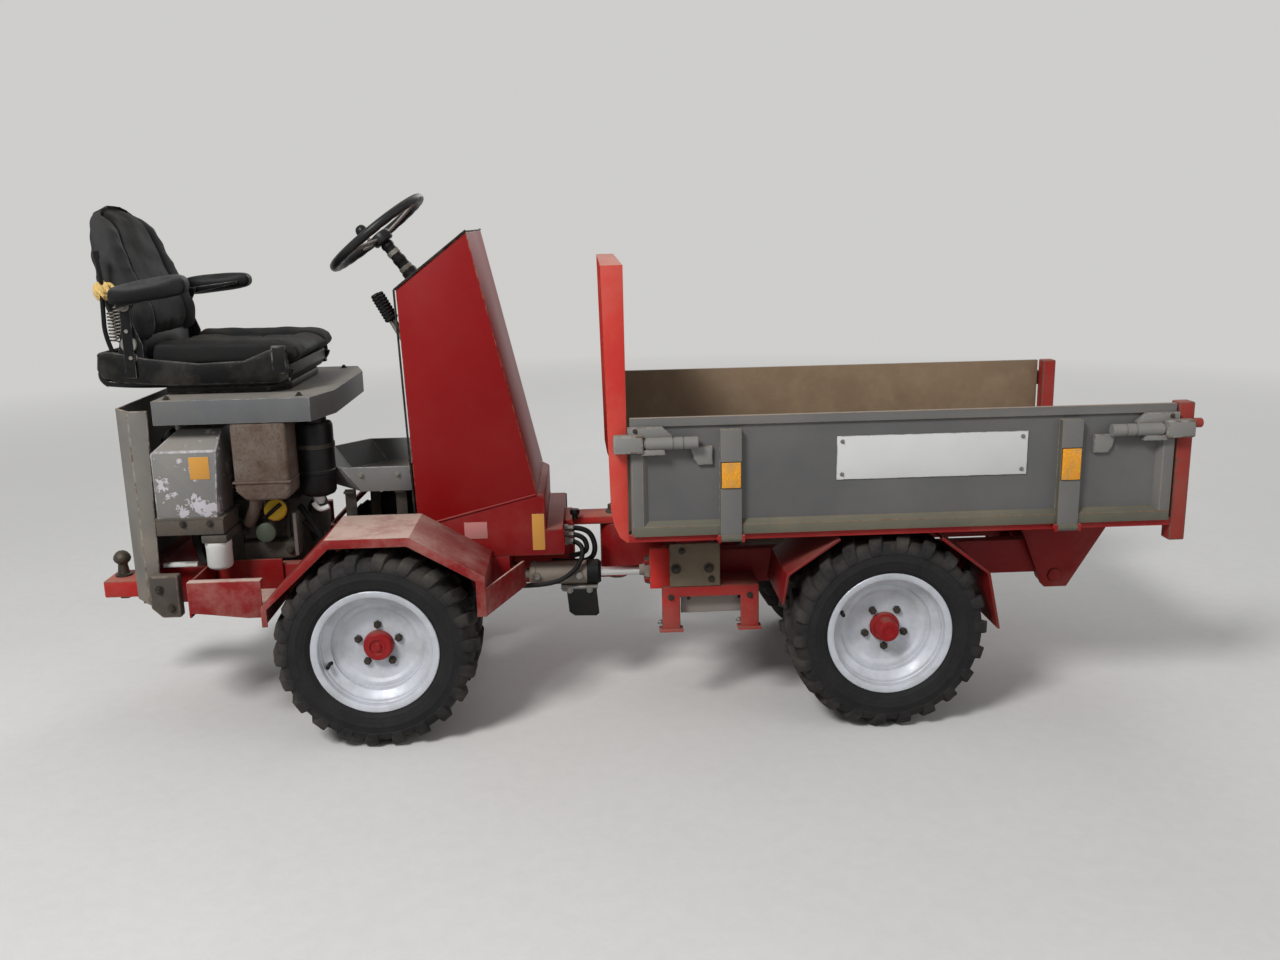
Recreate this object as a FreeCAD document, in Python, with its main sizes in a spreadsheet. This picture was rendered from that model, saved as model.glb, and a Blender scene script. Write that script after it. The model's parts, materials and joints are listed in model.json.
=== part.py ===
"""Articulated four-wheel site dumper: the driver's half carries engine, seat and console,
the load half carries a forward tipping bed with drop sides.

Frame: +X the way the driver looks, +Y to the driver's left, +Z up, millimetres. The origin
lies on the ground under the steering pivot, which is the middle of the machine's length.
"""
import FreeCAD, Part
import math
import os
import re
import Sketcher

vector = FreeCAD.Vector
doc = FreeCAD.newDocument("SiteDumper")
sheet = doc.addObject("Spreadsheet::Sheet", "Sizes")

# alias, millimetres or degrees
SIZES = (
    # wheels and axles
    ("wheel_radius", 268), ("tyre_width", 250), ("wheel_track", 710),
    ("rear_axle_x", -648), ("front_axle_x", 712),
    ("rim_flange_radius", 168), ("rim_seat_radius", 153), ("rim_well_radius", 128),
    ("rim_width", 224), ("rim_wall", 5), ("seat_width", 30), ("drop_width", 14), ("well_end", 30),
    ("disc_offset", 45), ("disc_thickness", 8),
    ("disc_step_radius", 104), ("disc_step", 8), ("hub_radius", 38), ("hub_bevel", 6),
    ("rear_hub_length", 30), ("front_hub_length", 52), ("hub_drum_radius", 54),
    ("hub_drum_length", 24), ("bolt_circle", 112), ("nut_radius", 11), ("nut_height", 12),
    ("nut_count", 5), ("tread_radius", 255), ("tread_inset", 22),
    ("sidewall_radius", 228),
    ("lug_count", 22), ("lug_width", 34), ("lug_end_inset", 3),
    ("lug_gap_half", 10), ("lug_skew", 26), ("lug_bevel", 14), ("lug_root", 236),
    ("axle_radius", 42), ("axle_flange_radius", 56), ("axle_flange", 14),
    ("axle_housing_radius", 88), ("axle_housing_width", 150), ("saddle_length", 110),
    ("fit_gap", 0.3), ("running_gap", 5), ("tyre_gap", 8), ("front_tyre_gap", 18),
    # rear chassis
    ("rail_width", 38), ("rail_bottom", 345), ("rail_top", 445),
    ("rear_rail_front", -305), ("cross_thickness", 40),
    ("sill_rear", -1122), ("sill_bottom", 367), ("sill_top", 469),
    ("sill_outer", 445), ("sheet_steel", 6), ("sill_step", 50),
    ("fender_cover", 117), ("fender_lip", 24),
    ("fender_rear_x", -930), ("fender_rear_z", 350), ("fender_rear_top", 404),
    ("fender_slope_x", -755), ("fender_top", 578), ("fender_front_x", -540),
    ("fender_nose_x", -352), ("fender_nose_z", 466), ("fender_foot_z", 358),
    ("flare_front_x", -262), ("flare_top", 432),
    ("tow_rear", -1498), ("tow_front", -1200), ("tow_bottom", 312), ("tow_top", 362),
    ("tow_half", 60), ("ball_x", -1459), ("ball_radius", 25), ("ball_neck_radius", 13),
    ("ball_z", 415),
    ("guard_rear", -1330), ("guard_bevel_x", -1276), ("guard_half", 300),
    ("guard_bevel_half", 236), ("guard_top_front", -1212), ("guard_low_front", -1167),
    ("guard_bottom", 364), ("guard_top", 896), ("guard_steel", 8),
    ("guard_overrun", 10),
    ("block_rear", -1260), ("block_front", -1182), ("block_low", 338), ("block_high", 455),
    ("block_depth", 34), ("block_bevel", 28),
    ("engine_rear", -1196), ("engine_front", -850),
    ("engine_bottom", 360), ("engine_top", 820),
    ("tank_rear", -1180), ("tank_front_top", -1043), ("tank_front_low", -1060),
    ("tank_bottom", 608), ("tank_top", 841), ("tank_cut", 62),
    ("tank_shelf", 22), ("tray_lip", 4), ("tray_slope", 12),
    ("silencer_rear", -1008), ("silencer_front", -864), ("silencer_bottom", 653),
    ("silencer_round", 26),
    ("filter_x", -1076), ("filter_y", -296), ("filter_radius", 34), ("filter_bottom", 474),
    ("filter_top", 540), ("filter_head", 24),
    ("deck_rear", -1200), ("deck_front", -756), ("deck_half", 330), ("deck_bottom", 862),
    ("deck_top", 925), ("deck_corner", 130), ("deck_wall", 5),
    ("deck_foot", 40),
    # seat
    ("slide_rear", -1160), ("slide_front", -880), ("slide_half", 165), ("slide_top", 948),
    ("pan_rear", -1366), ("pan_front", -862), ("pan_half", 238), ("pan_low_front", 948),
    ("pan_low_rear", 985), ("pan_edge", 40), ("pan_round", 26), ("pan_tail", 12),
    ("cheek_rise", 60), ("cheek_rear", 90), ("cheek_width", 54), ("cheek_taper", 7), ("cheek_lap", 2),
    ("cushion_front", -822), ("cushion_rear", -1246), ("cushion_half", 240),
    ("cushion_low", 1000), ("cushion_high", 1064), ("cushion_nose", 30),
    ("cushion_flat", 120), ("cushion_sag", 10), ("cushion_drop", 6),
    ("back_foot_x", -1215), ("back_foot_z", 1070), ("back_lean", 16), ("back_length", 394),
    ("back_half", 218), ("back_top_half", 120), ("back_thickness", 112), ("back_taper", 10),
    ("back_shoulder", 50),
    ("arm_rear", -1291), ("arm_front", -1088), ("arm_rear_z", 1188), ("arm_front_z", 1216),
    ("arm_thickness", 44), ("arm_inner", 256), ("arm_width", 58), ("arm_post", 30),
    ("arm_round", 18), ("arm_post_inset", 4), ("arm_lap", 16),
    # console and controls
    ("console_steel", 6), ("console_top_rear_x", -571),
    ("console_top_rear_z", 1189), ("console_top_front_x", -379), ("console_top_front_z", 1335),
    ("console_low_front_x", -220), ("console_low_front_z", 622), ("console_low_rear_x", -552),
    ("console_low_rear_z", 540), ("dash_depth", 12), ("console_mouth", 60), ("rear_lip", 52),
    ("well_front", -200),
    ("well_front_low", -152), ("well_high", 612), ("well_neck_z", 520),
    ("column_foot", 28), ("column_reach", 163), ("steering_radius", 165),
    ("steering_rim", 13), ("steering_hub_radius", 30), ("steering_dish", 34),
    ("spoke_radius", 8), ("spoke_count", 3), ("knob_radius", 18), ("knob_height", 46),
    ("knob_turn", 20), ("knob_stem_radius", 6),
    ("column_radius", 19), ("column_collar", 26), ("collar_length", 34),
    ("lever_foot_x", -538), ("lever_foot_z", 985), ("lever_top_x", -640), ("lever_top_z", 1176),
    ("lever_shaft_radius", 9),
    ("lever_y", -150), ("lever_radius", 6), ("lever_grip_radius", 15), ("lever_grip", 84),
    ("lever_spacing", 54),
    # steering pivot
    ("yoke_rear", -128), ("yoke_half", 75), ("yoke_arm_half", 48),
    ("yoke_low", 320), ("yoke_low_arm", 24), ("yoke_high", 508), ("yoke_high_arm", 24),
    ("pivot_radius", 20), ("tongue_front", 135), ("pin_head", 10), ("pin_head_radius", 30),
    ("steer_offset", 150), ("steer_eye_x", 90), ("steer_anchor_x", -282), ("steer_z", 372),
    ("barrel_radius", 36), ("barrel_length", 232), ("steer_rod_radius", 14),
    ("steer_rod_inside", 127), ("clevis_radius", 20), ("clevis_width", 40), ("clevis_pin", 10),
    ("neck_radius", 16), ("steer_neck", 26), ("barrel_end_wall", 10),
    ("ear_steel", 10), ("ear_gap", 1), ("ear_half", 20), ("ear_past_pin", 16), ("foot_ear_half", 26),
    # front chassis
    ("front_rail_width", 40), ("front_rail_bottom", 345),
    ("front_rail_top", 442), ("front_rail_rear", 135), ("front_rail_end", 1292),
    ("tip_x", 1247), ("tip_z", 339), ("tip_pin_radius", 18), ("tip_boss_radius", 38),
    ("arch_cover", 109), ("arch_strip", 7), ("arch_lean", 13), ("arch_front_drop", 8),
    ("arch_knee_drop", 14), ("arch_rear_x", 429), ("arch_foot_z", 358),
    ("arch_knee_z", 438), ("arch_rear_top_x", 577), ("arch_top_z", 530),
    ("arch_front_top_x", 843), ("arch_front_knee_x", 970), ("arch_front_x", 1003),
    ("arch_front_foot_z", 270),
    ("bracket_rear", 86), ("bracket_front", 150), ("bracket_low", 345), ("bracket_high", 463),
    ("bracket_outer", 250), ("bracket_bevel", 14),
    ("plate_rear", 136), ("plate_front", 274), ("plate_low", 376), ("plate_high", 498),
    ("plate_outer", 334), ("plate_steel", 12), ("plate_rib_inset", 20),
    ("leg_rear_x", 139), ("leg_front_x", 356), ("leg_width", 50), ("leg_bottom", 245),
    ("leg_outer", 330), ("leg_depth", 12), ("belly_low", 288), ("belly_rear", 168),
    ("belly_front", 352), ("belly_inset", 40),
    # bed
    ("bed_half", 471), ("bed_rail_low", 545),
    ("bed_rail_high", 565), ("bed_floor_top", 571), ("bed_rail_width", 60),
    ("head_rear_top", -32), ("head_rear_low", -20), ("head_front", 23), ("head_top", 1250),
    ("head_skin", 5), ("head_open", 20), ("side_gap", 8), ("floor_gap", 6),
    ("post_width", 42), ("post_front", 1488), ("post_low", 503), ("post_high", 871),
    ("post_depth", 44),
    ("hinge_plate_rear", 1120), ("hinge_plate_front", 1432),
    ("hinge_plate_low", 303), ("hinge_plate_steel", 12), ("hinge_plate_round", 12),
    ("joist_low", 500), ("joist_half", 120), ("joist_width", 40),
    # drop sides
    ("hinge_out", 14), ("side_hinge_z", 552), ("side_top", 869), ("side_low", 586),
    ("skin_inset", 13), ("side_skin", 8), ("side_frame", 15), ("side_edge", 34),
    ("side_rail_low", 567), ("strap_rear_x", 259), ("strap_front_x", 1137), ("strap_width", 54),
    ("strap_top", 836), ("strap_depth", 15), ("knuckle_radius", 9), ("hinge_pin_radius", 5),
    ("lug_steel", 7), ("pin_end", 3),
    ("latch_rear", -12), ("latch_rear_end", 206), ("latch_front", 1266), ("latch_front_end", 1498),
    ("latch_z", 812), ("latch_height", 32), ("latch_depth", 32), ("latch_wing", 60),
    ("latch_heel", 14), ("latch_tip", 6), ("crest_height", 22),
    # tipping cylinder
    ("ram_foot_x", 330), ("ram_foot_z", 385), ("ram_eye_x", 830), ("ram_eye_z", 470),
    ("ram_radius", 34), ("ram_length", 400), ("ram_rod_radius", 18), ("ram_rod_inside", 60),
    ("ram_neck", 42), ("ram_ear_length", 80), ("foot_ear_back", 50), ("cross_sheet", 20),
    ("shaft_end", 4),
)

# Places that follow from the sizes above, so that pieces which meet move together.
LINKED = {
    "rail_outer": "(wheel_track / 2 - tyre_width / 2 - tyre_gap)",
    "rail_inner": "(rail_outer - rail_width)",
    "front_rail_outer": "(wheel_track / 2 - tyre_width / 2 - front_tyre_gap)",
    "front_rail_inner": "(front_rail_outer - front_rail_width)",
    "fender_outer": "(wheel_track / 2 + fender_cover)",
    "arch_outer": "(wheel_track / 2 + arch_cover)",
    "tank_outer": "deck_half",
    "post_rear": "(post_front - post_width)",
    "side_hinge_y": "(bed_half + hinge_out)",
    "side_skin_in": "(bed_half - skin_inset)",
    "side_edge_out": "(side_skin_in + side_frame)",
    "strap_out": "(side_edge_out + strap_depth)",
    "latch_out": "(side_edge_out + latch_depth)",
}

for row, (alias, amount) in enumerate(SIZES, 1):
    sheet.set(f"A{row}", alias)
    sheet.set(f"B{row}", str(amount))
    sheet.setAlias(f"B{row}", alias)
doc.recompute()


class SheetSizes:
    """Reads one aliased cell as a number."""

    def __getattr__(self, alias):
        return float(sheet.get(alias))


size = SheetSizes()
nodes = []


def bound(text):
    """Turns a formula of plain aliases into one that reads the sheet's cells."""
    def cell(word):
        name = word.group()
        return bound(LINKED[name]) if name in LINKED else "Sizes." + name

    return re.sub(r"[a-z][a-z_]*\b(?!\(|2\()", cell, text)


def keep(thing, label):
    """Names a finished sub-part and puts it on the list of files to write."""
    thing.Label = label
    nodes.append(thing)
    return thing


def plain_body(name):
    body = doc.addObject("PartDesign::Body", name)
    body.AllowCompound = True
    return body


def new_body(label):
    return keep(plain_body(label), label)


def origin_part(body, role):
    return next(item for item in body.Origin.OriginFeatures if item.Role == role)


def outline(body, name, role, points, start):
    """A closed sketch whose corners sit at formulas of the sheet's sizes."""
    sketch = body.newObject("Sketcher::SketchObject", name)
    sketch.AttachmentSupport = [(origin_part(body, role), "")]
    sketch.MapMode = "FlatFace"
    sketch.setExpression("AttachmentOffset.Base.z", bound(start))
    count = len(points)
    spots = [vector(index, index * index, 0) for index in range(count + 1)]
    lines = [Part.LineSegment(spots[index], spots[index + 1]) for index in range(count)]
    sketch.addGeometry(lines, False)
    for index in range(count):
        follower = (index + 1) % count
        sketch.addConstraint(Sketcher.Constraint("Coincident", index, 2, follower, 1))
    for index, (across, along) in enumerate(points):
        for kind, formula in (("DistanceX", across), ("DistanceY", along)):
            number = sketch.addConstraint(Sketcher.Constraint(kind, index, 1, 1.0 + index))
            sketch.setExpression(f"Constraints[{number}]", bound(formula))
    return sketch


def pad(body, name, role, points, length, start="0", midplane=False):
    """Material from an outline. On XZ planes it grows towards the machine's right, -Y."""
    feature_outline = outline(body, name + "_outline", role, points, start)
    feature = body.newObject("PartDesign::Pad", name)
    feature.Profile = feature_outline
    feature.setExpression("Length", bound(length))
    feature.Midplane = midplane
    return feature


def pocket(body, name, role, points, length, start="0", midplane=False):
    """A cut from an outline, in the same direction as a pad."""
    feature_outline = outline(body, name + "_outline", role, points, start)
    feature = body.newObject("PartDesign::Pocket", name)
    feature.Profile = feature_outline
    feature.setExpression("Length", bound(length))
    feature.Reversed = not midplane
    feature.Midplane = midplane
    return feature


def revolve(body, name, points, kind="PartDesign::Revolution"):
    """Turns an outline, given as place along Y and radius, about the Y axis."""
    feature_outline = outline(body, name + "_outline", "YZ_Plane", points, "0")
    feature = body.newObject(kind, name)
    feature.Profile = feature_outline
    feature.ReferenceAxis = (origin_part(body, "Y_Axis"), [""])
    feature.Angle = 360
    return feature


def around(body, name, originals, count):
    """Repeats features round the Y axis."""
    pattern = body.newObject("PartDesign::PolarPattern", name)
    pattern.Originals = originals
    pattern.Axis = (origin_part(body, "Y_Axis"), [""])
    pattern.Angle = 360
    pattern.setExpression("Occurrences", bound(count))
    body.Tip = pattern
    return pattern


def both_sides(body, originals):
    """Repeats features on the machine's left side."""
    mirrored = body.newObject("PartDesign::Mirrored", body.Label + "_left")
    mirrored.Originals = originals
    mirrored.MirrorPlane = (origin_part(body, "XZ_Plane"), [""])
    body.Tip = mirrored
    return mirrored


def place(thing, along, across, up, turn=None):
    """Puts a finished sub-part at a formula of the sheet's sizes."""
    if turn is not None:
        thing.Placement = FreeCAD.Placement(vector(0, 0, 0), turn)
    for axis, formula in (("x", along), ("y", across), ("z", up)):
        thing.setExpression("Placement.Base." + axis, bound(formula))
    return thing


def box(name, low, high):
    """A block between two corners given as formulas."""
    block = doc.addObject("Part::Box", name)
    for axis, extent, start, end in zip("xyz", ("Length", "Width", "Height"), low, high):
        block.setExpression(extent, bound(f"({end}) - ({start})"))
        block.setExpression("Placement.Base." + axis, bound(start))
    return block


TURNS = {"x": FreeCAD.Rotation(vector(0, 1, 0), 90), "z": FreeCAD.Rotation(),
         "y": FreeCAD.Rotation(vector(1, 0, 0), -90)}


def rod(name, radius, spot, axis, length):
    """A cylinder that starts at a spot and runs along +X, +Y or +Z."""
    cylinder = doc.addObject("Part::Cylinder", name)
    cylinder.setExpression("Radius", bound(radius))
    cylinder.setExpression("Height", bound(length))
    return place(cylinder, *spot, turn=TURNS[axis])


def fuse(label, shapes):
    """Joins touching pieces into one sub-part and merges their flush faces."""
    joined = doc.addObject("Part::MultiFuse", label)
    joined.Shapes = shapes
    joined.Refine = True
    return keep(joined, label)


def cut(name, base, tool):
    result = doc.addObject("Part::Cut", name)
    result.Base = base
    result.Tool = tool
    return result


# Wheels: agricultural tyre with chunky lugs on a deep-dished twelve-inch rim.
# Columns: name, axle place, side (right is -Y), kind of rim
WHEELS = (
    ("rear_right", "rear_axle_x", "-", "rear"),
    ("rear_left", "rear_axle_x", "", "rear"),
    ("front_right", "front_axle_x", "-", "front"),
    ("front_left", "front_axle_x", "", "front"),
)
HALF_TURN = FreeCAD.Rotation(vector(0, 0, 1), 180)


def facet_ring(name, outline, count):
    """A ring turned about the Y axis in flat steps. Columns of the outline: place along Y, radius."""
    corner_reach = 1 / math.cos(math.pi / count)
    sections = []
    for step in range(count):
        turn = 2 * math.pi * step / count
        sections.append([vector(radius * corner_reach * math.cos(turn), along,
                                radius * corner_reach * math.sin(turn))
                         for along, radius in outline])
    faces = []
    for here, after in zip(sections, sections[1:] + sections[:1]):
        for spot in range(len(outline)):
            other = (spot + 1) % len(outline)
            loop = [here[spot], here[other], after[other], after[spot], here[spot]]
            faces.append(Part.Face(Part.makePolygon(loop)))
    feature = doc.addObject("Part::Feature", name)
    feature.Shape = Part.Solid(Part.Shell(faces))
    return feature


def lug_row(name, sign):
    """One row of slanted lugs with bevelled outer ends, from the tread's middle to one shoulder."""
    row = plain_body(name)
    end = f"{sign}(tyre_width / 2 - lug_end_inset)"
    root = f"{sign}lug_gap_half"
    corners = (
        ("-lug_width / 2 + lug_skew / 2", root),
        ("lug_width / 2 + lug_skew / 2", root),
        ("lug_width / 2 - lug_skew / 2", end),
        ("-lug_width / 2 - lug_skew / 2", end),
    )
    lug = pad(row, "lug", "XY_Plane", corners, "wheel_radius - lug_root", start="-wheel_radius")
    bevel = (
        (end, "-wheel_radius"),
        (f"{sign}(tyre_width / 2 - lug_end_inset - lug_bevel)", "-wheel_radius"),
        (end, "-wheel_radius + lug_bevel"),
    )
    corner = pocket(row, "bevel", "YZ_Plane", bevel, "2 * lug_width + 2 * lug_skew", midplane=True)
    around(row, "lugs", [lug, corner], "lug_count")
    return row


def tyre():
    """A carcass with a flat for each lug, and two rows of lugs staggered by half a step."""
    half = size.tyre_width / 2
    bead = size.rim_width / 2 - size.rim_wall - 1 - size.fit_gap
    wall = [
        (bead, size.rim_seat_radius + size.fit_gap),
        (bead, size.rim_flange_radius + size.fit_gap),
        (half, size.sidewall_radius),
        (half - size.tread_inset, size.tread_radius),
    ]
    mirrored = [(-across, radius) for across, radius in reversed(wall)]
    ring = facet_ring("carcass", wall + mirrored, int(size.lug_count))
    inner_row = lug_row("lugs_in", "")
    inner_row.Placement = FreeCAD.Placement(vector(0, 0, 0), FreeCAD.Rotation(vector(0, 1, 0), 1))
    inner_row.setExpression("Placement.Rotation.Angle", bound("180 / lug_count"))
    solid = doc.addObject("Part::MultiFuse", "lugged_tyre")
    solid.Shapes = [ring, lug_row("lugs_out", "-"), inner_row]
    solid.Refine = True
    return solid


def rim(kind):
    """Welded rim as one turned profile: barrel, drop centre, dished disc and hub cap, with nuts."""
    body = plain_body(kind + "_rim")
    hub_length = kind + "_hub_length"
    half = "(rim_width / 2)"
    lip = "(rim_width / 2 - rim_wall - 1)"
    face = "-disc_offset"
    profile = (
        ("-" + half, "rim_flange_radius"),
        ("-" + lip, "rim_flange_radius"),
        ("-" + lip, "rim_seat_radius"),
        (f"-{lip} + seat_width", "rim_seat_radius"),
        (f"-{lip} + seat_width + drop_width", "rim_well_radius"),
        ("well_end", "rim_well_radius"),
        ("well_end + drop_width", "rim_seat_radius"),
        (lip, "rim_seat_radius"),
        (lip, "rim_flange_radius"),
        (half, "rim_flange_radius"),
        (half, "rim_seat_radius - rim_wall"),
        ("well_end + drop_width + rim_wall", "rim_seat_radius - rim_wall"),
        ("well_end + rim_wall", "rim_well_radius - rim_wall"),
        (face + " + disc_thickness", "rim_well_radius - rim_wall"),
        (face + " + disc_thickness", "hub_drum_radius"),
        (face + " + disc_thickness + hub_drum_length", "hub_drum_radius"),
        (face + " + disc_thickness + hub_drum_length", "0"),
        (f"{face} - {hub_length}", "0"),
        (f"{face} - {hub_length}", "hub_radius - hub_bevel"),
        (f"{face} - {hub_length} + hub_bevel", "hub_radius"),
        (face, "hub_radius"),
        (face, "disc_step_radius - disc_step"),
        (face + " - disc_step", "disc_step_radius"),
        (face + " - disc_step", "rim_well_radius - rim_wall"),
        (f"-{lip} + seat_width + drop_width - rim_wall", "rim_well_radius - rim_wall"),
        (f"-{lip} + seat_width - rim_wall", "rim_seat_radius - rim_wall"),
        ("-" + half, "rim_seat_radius - rim_wall"),
    )
    revolve(body, "profile", profile)
    nut_corners = []
    for step in range(6):
        across = math.cos(math.radians(60 * step))
        up = math.sin(math.radians(60 * step))
        nut_corners.append((f"nut_radius * {across:.6f}", f"bolt_circle / 2 + nut_radius * {up:.6f}"))
    nut = pad(body, "nut", "XZ_Plane", nut_corners, "nut_height + 1", start="disc_offset - 1")
    around(body, "nuts", [nut], "nut_count")
    return body


one_tyre = tyre()
rims = {kind: rim(kind) for kind in ("rear", "front")}
for name, axle_x, side, kind in WHEELS:
    turn = FreeCAD.Rotation() if side else HALF_TURN
    for label, pattern in (("tyre_" + name, one_tyre), ("rim_" + name, rims[kind])):
        fitted = doc.addObject("Part::Compound", label)
        fitted.Links = [pattern]
        place(keep(fitted, label), axle_x, side + "wheel_track / 2", "wheel_radius", turn)


# Axles: straight tube with a round reduction housing, wheel flanges and saddles to the rails.
def axle(label, axle_x, rail_inner, rail_outer, rail_bottom):
    end = "(wheel_track / 2 + disc_offset - disc_thickness - hub_drum_length - fit_gap)"
    tube = rod(label + "_tube", "axle_radius", (axle_x, "-" + end, "wheel_radius"), "y", "2 * " + end)
    centre = (axle_x, "-axle_housing_width / 2", "wheel_radius")
    housing = rod(label + "_housing", "axle_housing_radius", centre, "y", "axle_housing_width")
    pieces = [tube, housing]
    for mark, start in (("right", "-" + end), ("left", end + " - axle_flange")):
        spot = (axle_x, start, "wheel_radius")
        pieces.append(rod(f"{label}_flange_{mark}", "axle_flange_radius", spot, "y", "axle_flange"))
    for mark, low, high in (("right", "-" + rail_outer, "-" + rail_inner),
                            ("left", rail_inner, rail_outer)):
        pieces.append(box(f"{label}_saddle_{mark}",
                          (axle_x + " - saddle_length / 2", low, "wheel_radius"),
                          (axle_x + " + saddle_length / 2", high, rail_bottom)))
    return fuse(label, pieces)


axle("rear_axle", "rear_axle_x", "rail_inner", "rail_outer", "rail_bottom")
axle("front_axle", "front_axle_x", "front_rail_inner", "front_rail_outer", "front_rail_bottom")


# Rear chassis: two deep rails, cross members and the outer sills at the tail.
def rear_frame():
    pieces = []
    for mark, low, high in (("right", "-rail_outer", "-rail_inner"),
                            ("left", "rail_inner", "rail_outer")):
        pieces.append(box("rear_rail_" + mark, ("guard_rear + guard_steel", low, "rail_bottom"),
                          ("rear_rail_front", high, "rail_top")))
    for mark, start in (("tail", "guard_rear + guard_steel"), ("nose", "rear_rail_front - cross_thickness")):
        pieces.append(box("rear_cross_" + mark, (start, "-rail_outer", "rail_bottom"),
                          (start + " + cross_thickness", "rail_outer", "rail_top")))
    gap = "(clevis_width / 2 + ear_gap)"
    for mark, low in (("low", f"steer_z - {gap} - ear_steel"), ("high", f"steer_z + {gap}")):
        pieces.append(box("anchor_ear_" + mark, ("rear_rail_front", "-steer_offset - ear_half", low),
                          ("steer_anchor_x + ear_past_pin", "-steer_offset + ear_half",
                           f"{low} + ear_steel")))
    pieces.append(rod("anchor_pin", "clevis_pin", ("steer_anchor_x", "-steer_offset",
                                                   f"steer_z - {gap} - ear_steel"), "z",
                      f"2 * {gap} + 2 * ear_steel"))
    return fuse("rear_frame", pieces)


rear_frame()


def rear_sills():
    """Folded channels outboard of the rails, open outwards, with a step at the front foot."""
    body = new_body("rear_sills")
    section = (
        ("-rail_outer", "sill_bottom"),
        ("-sill_outer + sill_step", "sill_bottom"),
        ("-sill_outer + sill_step", "sill_bottom + sheet_steel"),
        ("-rail_outer - sheet_steel", "sill_bottom + sheet_steel"),
        ("-rail_outer - sheet_steel", "sill_top - sheet_steel"),
        ("-sill_outer", "sill_top - sheet_steel"),
        ("-sill_outer", "sill_top"),
        ("-rail_outer", "sill_top"),
    )
    channel = pad(body, "channel", "YZ_Plane", section, "fender_rear_x - sill_rear", start="sill_rear")
    foot = (
        ("fender_rear_x - sill_step * 2", "sill_bottom + sheet_steel"),
        ("fender_rear_x - sill_step * 2", "sill_bottom + sill_step"),
        ("fender_rear_x", "sill_bottom + sill_step"),
        ("fender_rear_x", "sill_bottom + sheet_steel"),
    )
    step = pad(body, "step", "XZ_Plane", foot, "sill_outer - rail_outer - 2 * sheet_steel",
               start="rail_outer + sheet_steel")
    both_sides(body, [channel, step])
    return body


rear_sills()


def rear_fenders():
    """Plate fender bent over the wheel, its flat top a foot plate, with a lip and a nose plate."""
    body = new_body("rear_fenders")
    top = (
        ("fender_rear_x", "fender_rear_z"),
        ("fender_rear_x", "fender_rear_top"),
        ("fender_slope_x", "fender_top"),
        ("fender_front_x", "fender_top"),
        ("fender_nose_x", "fender_nose_z"),
        ("fender_nose_x", "fender_foot_z"),
        ("fender_nose_x - sheet_steel", "fender_foot_z"),
        ("fender_nose_x - sheet_steel", "fender_nose_z - sheet_steel * 0.6"),
        ("fender_front_x - sheet_steel * 0.4", "fender_top - sheet_steel"),
        ("fender_slope_x + sheet_steel * 0.4", "fender_top - sheet_steel"),
        ("fender_rear_x + sheet_steel", "fender_rear_top - sheet_steel * 0.4"),
        ("fender_rear_x + sheet_steel", "fender_rear_z"),
    )
    cover = pad(body, "cover", "XZ_Plane", top, "fender_outer - rail_outer", start="rail_outer")
    lip = (
        ("fender_rear_x", "fender_rear_z"),
        ("fender_rear_x", "fender_rear_top"),
        ("fender_slope_x", "fender_top"),
        ("fender_front_x", "fender_top"),
        ("fender_nose_x", "fender_nose_z"),
        ("fender_nose_x", "fender_foot_z"),
        ("fender_nose_x - fender_lip", "fender_foot_z"),
        ("fender_nose_x - fender_lip", "fender_nose_z - fender_lip * 0.5"),
        ("fender_front_x - fender_lip * 0.3", "fender_top - fender_lip"),
        ("fender_slope_x + fender_lip * 0.4", "fender_top - fender_lip"),
        ("fender_rear_x + fender_lip * 0.6", "fender_rear_top - fender_lip * 0.3"),
        ("fender_rear_x + fender_lip * 0.6", "fender_rear_z"),
    )
    edge = pad(body, "edge", "XZ_Plane", lip, "sheet_steel", start="fender_outer - sheet_steel")
    flare = (
        ("fender_nose_x - sheet_steel", "-fender_outer"),
        ("fender_nose_x", "-fender_outer"),
        ("flare_front_x", "-rail_outer"),
        ("flare_front_x - sheet_steel * 1.6", "-rail_outer"),
    )
    nose = pad(body, "nose", "XY_Plane", flare, "flare_top - fender_foot_z", start="fender_foot_z")
    both_sides(body, [cover, edge, nose])
    return body


rear_fenders()

# Drawbar block behind the guard with a coupling ball.
fuse("tow_bar", [
    box("tow_block", ("tow_rear", "-tow_half", "tow_bottom"),
        ("guard_rear + guard_steel", "tow_half", "tow_top")),
    box("tow_tongue", ("guard_rear", "-tow_half", "tow_bottom"),
        ("tow_front", "tow_half", "rail_bottom")),
    rod("ball_neck", "ball_neck_radius", ("ball_x", "0", "tow_top"), "z", "ball_z - tow_top"),
    place(doc.addObject("Part::Sphere", "ball"), "ball_x", "0", "ball_z"),
])
doc.ball.setExpression("Radius", bound("ball_radius"))


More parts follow.
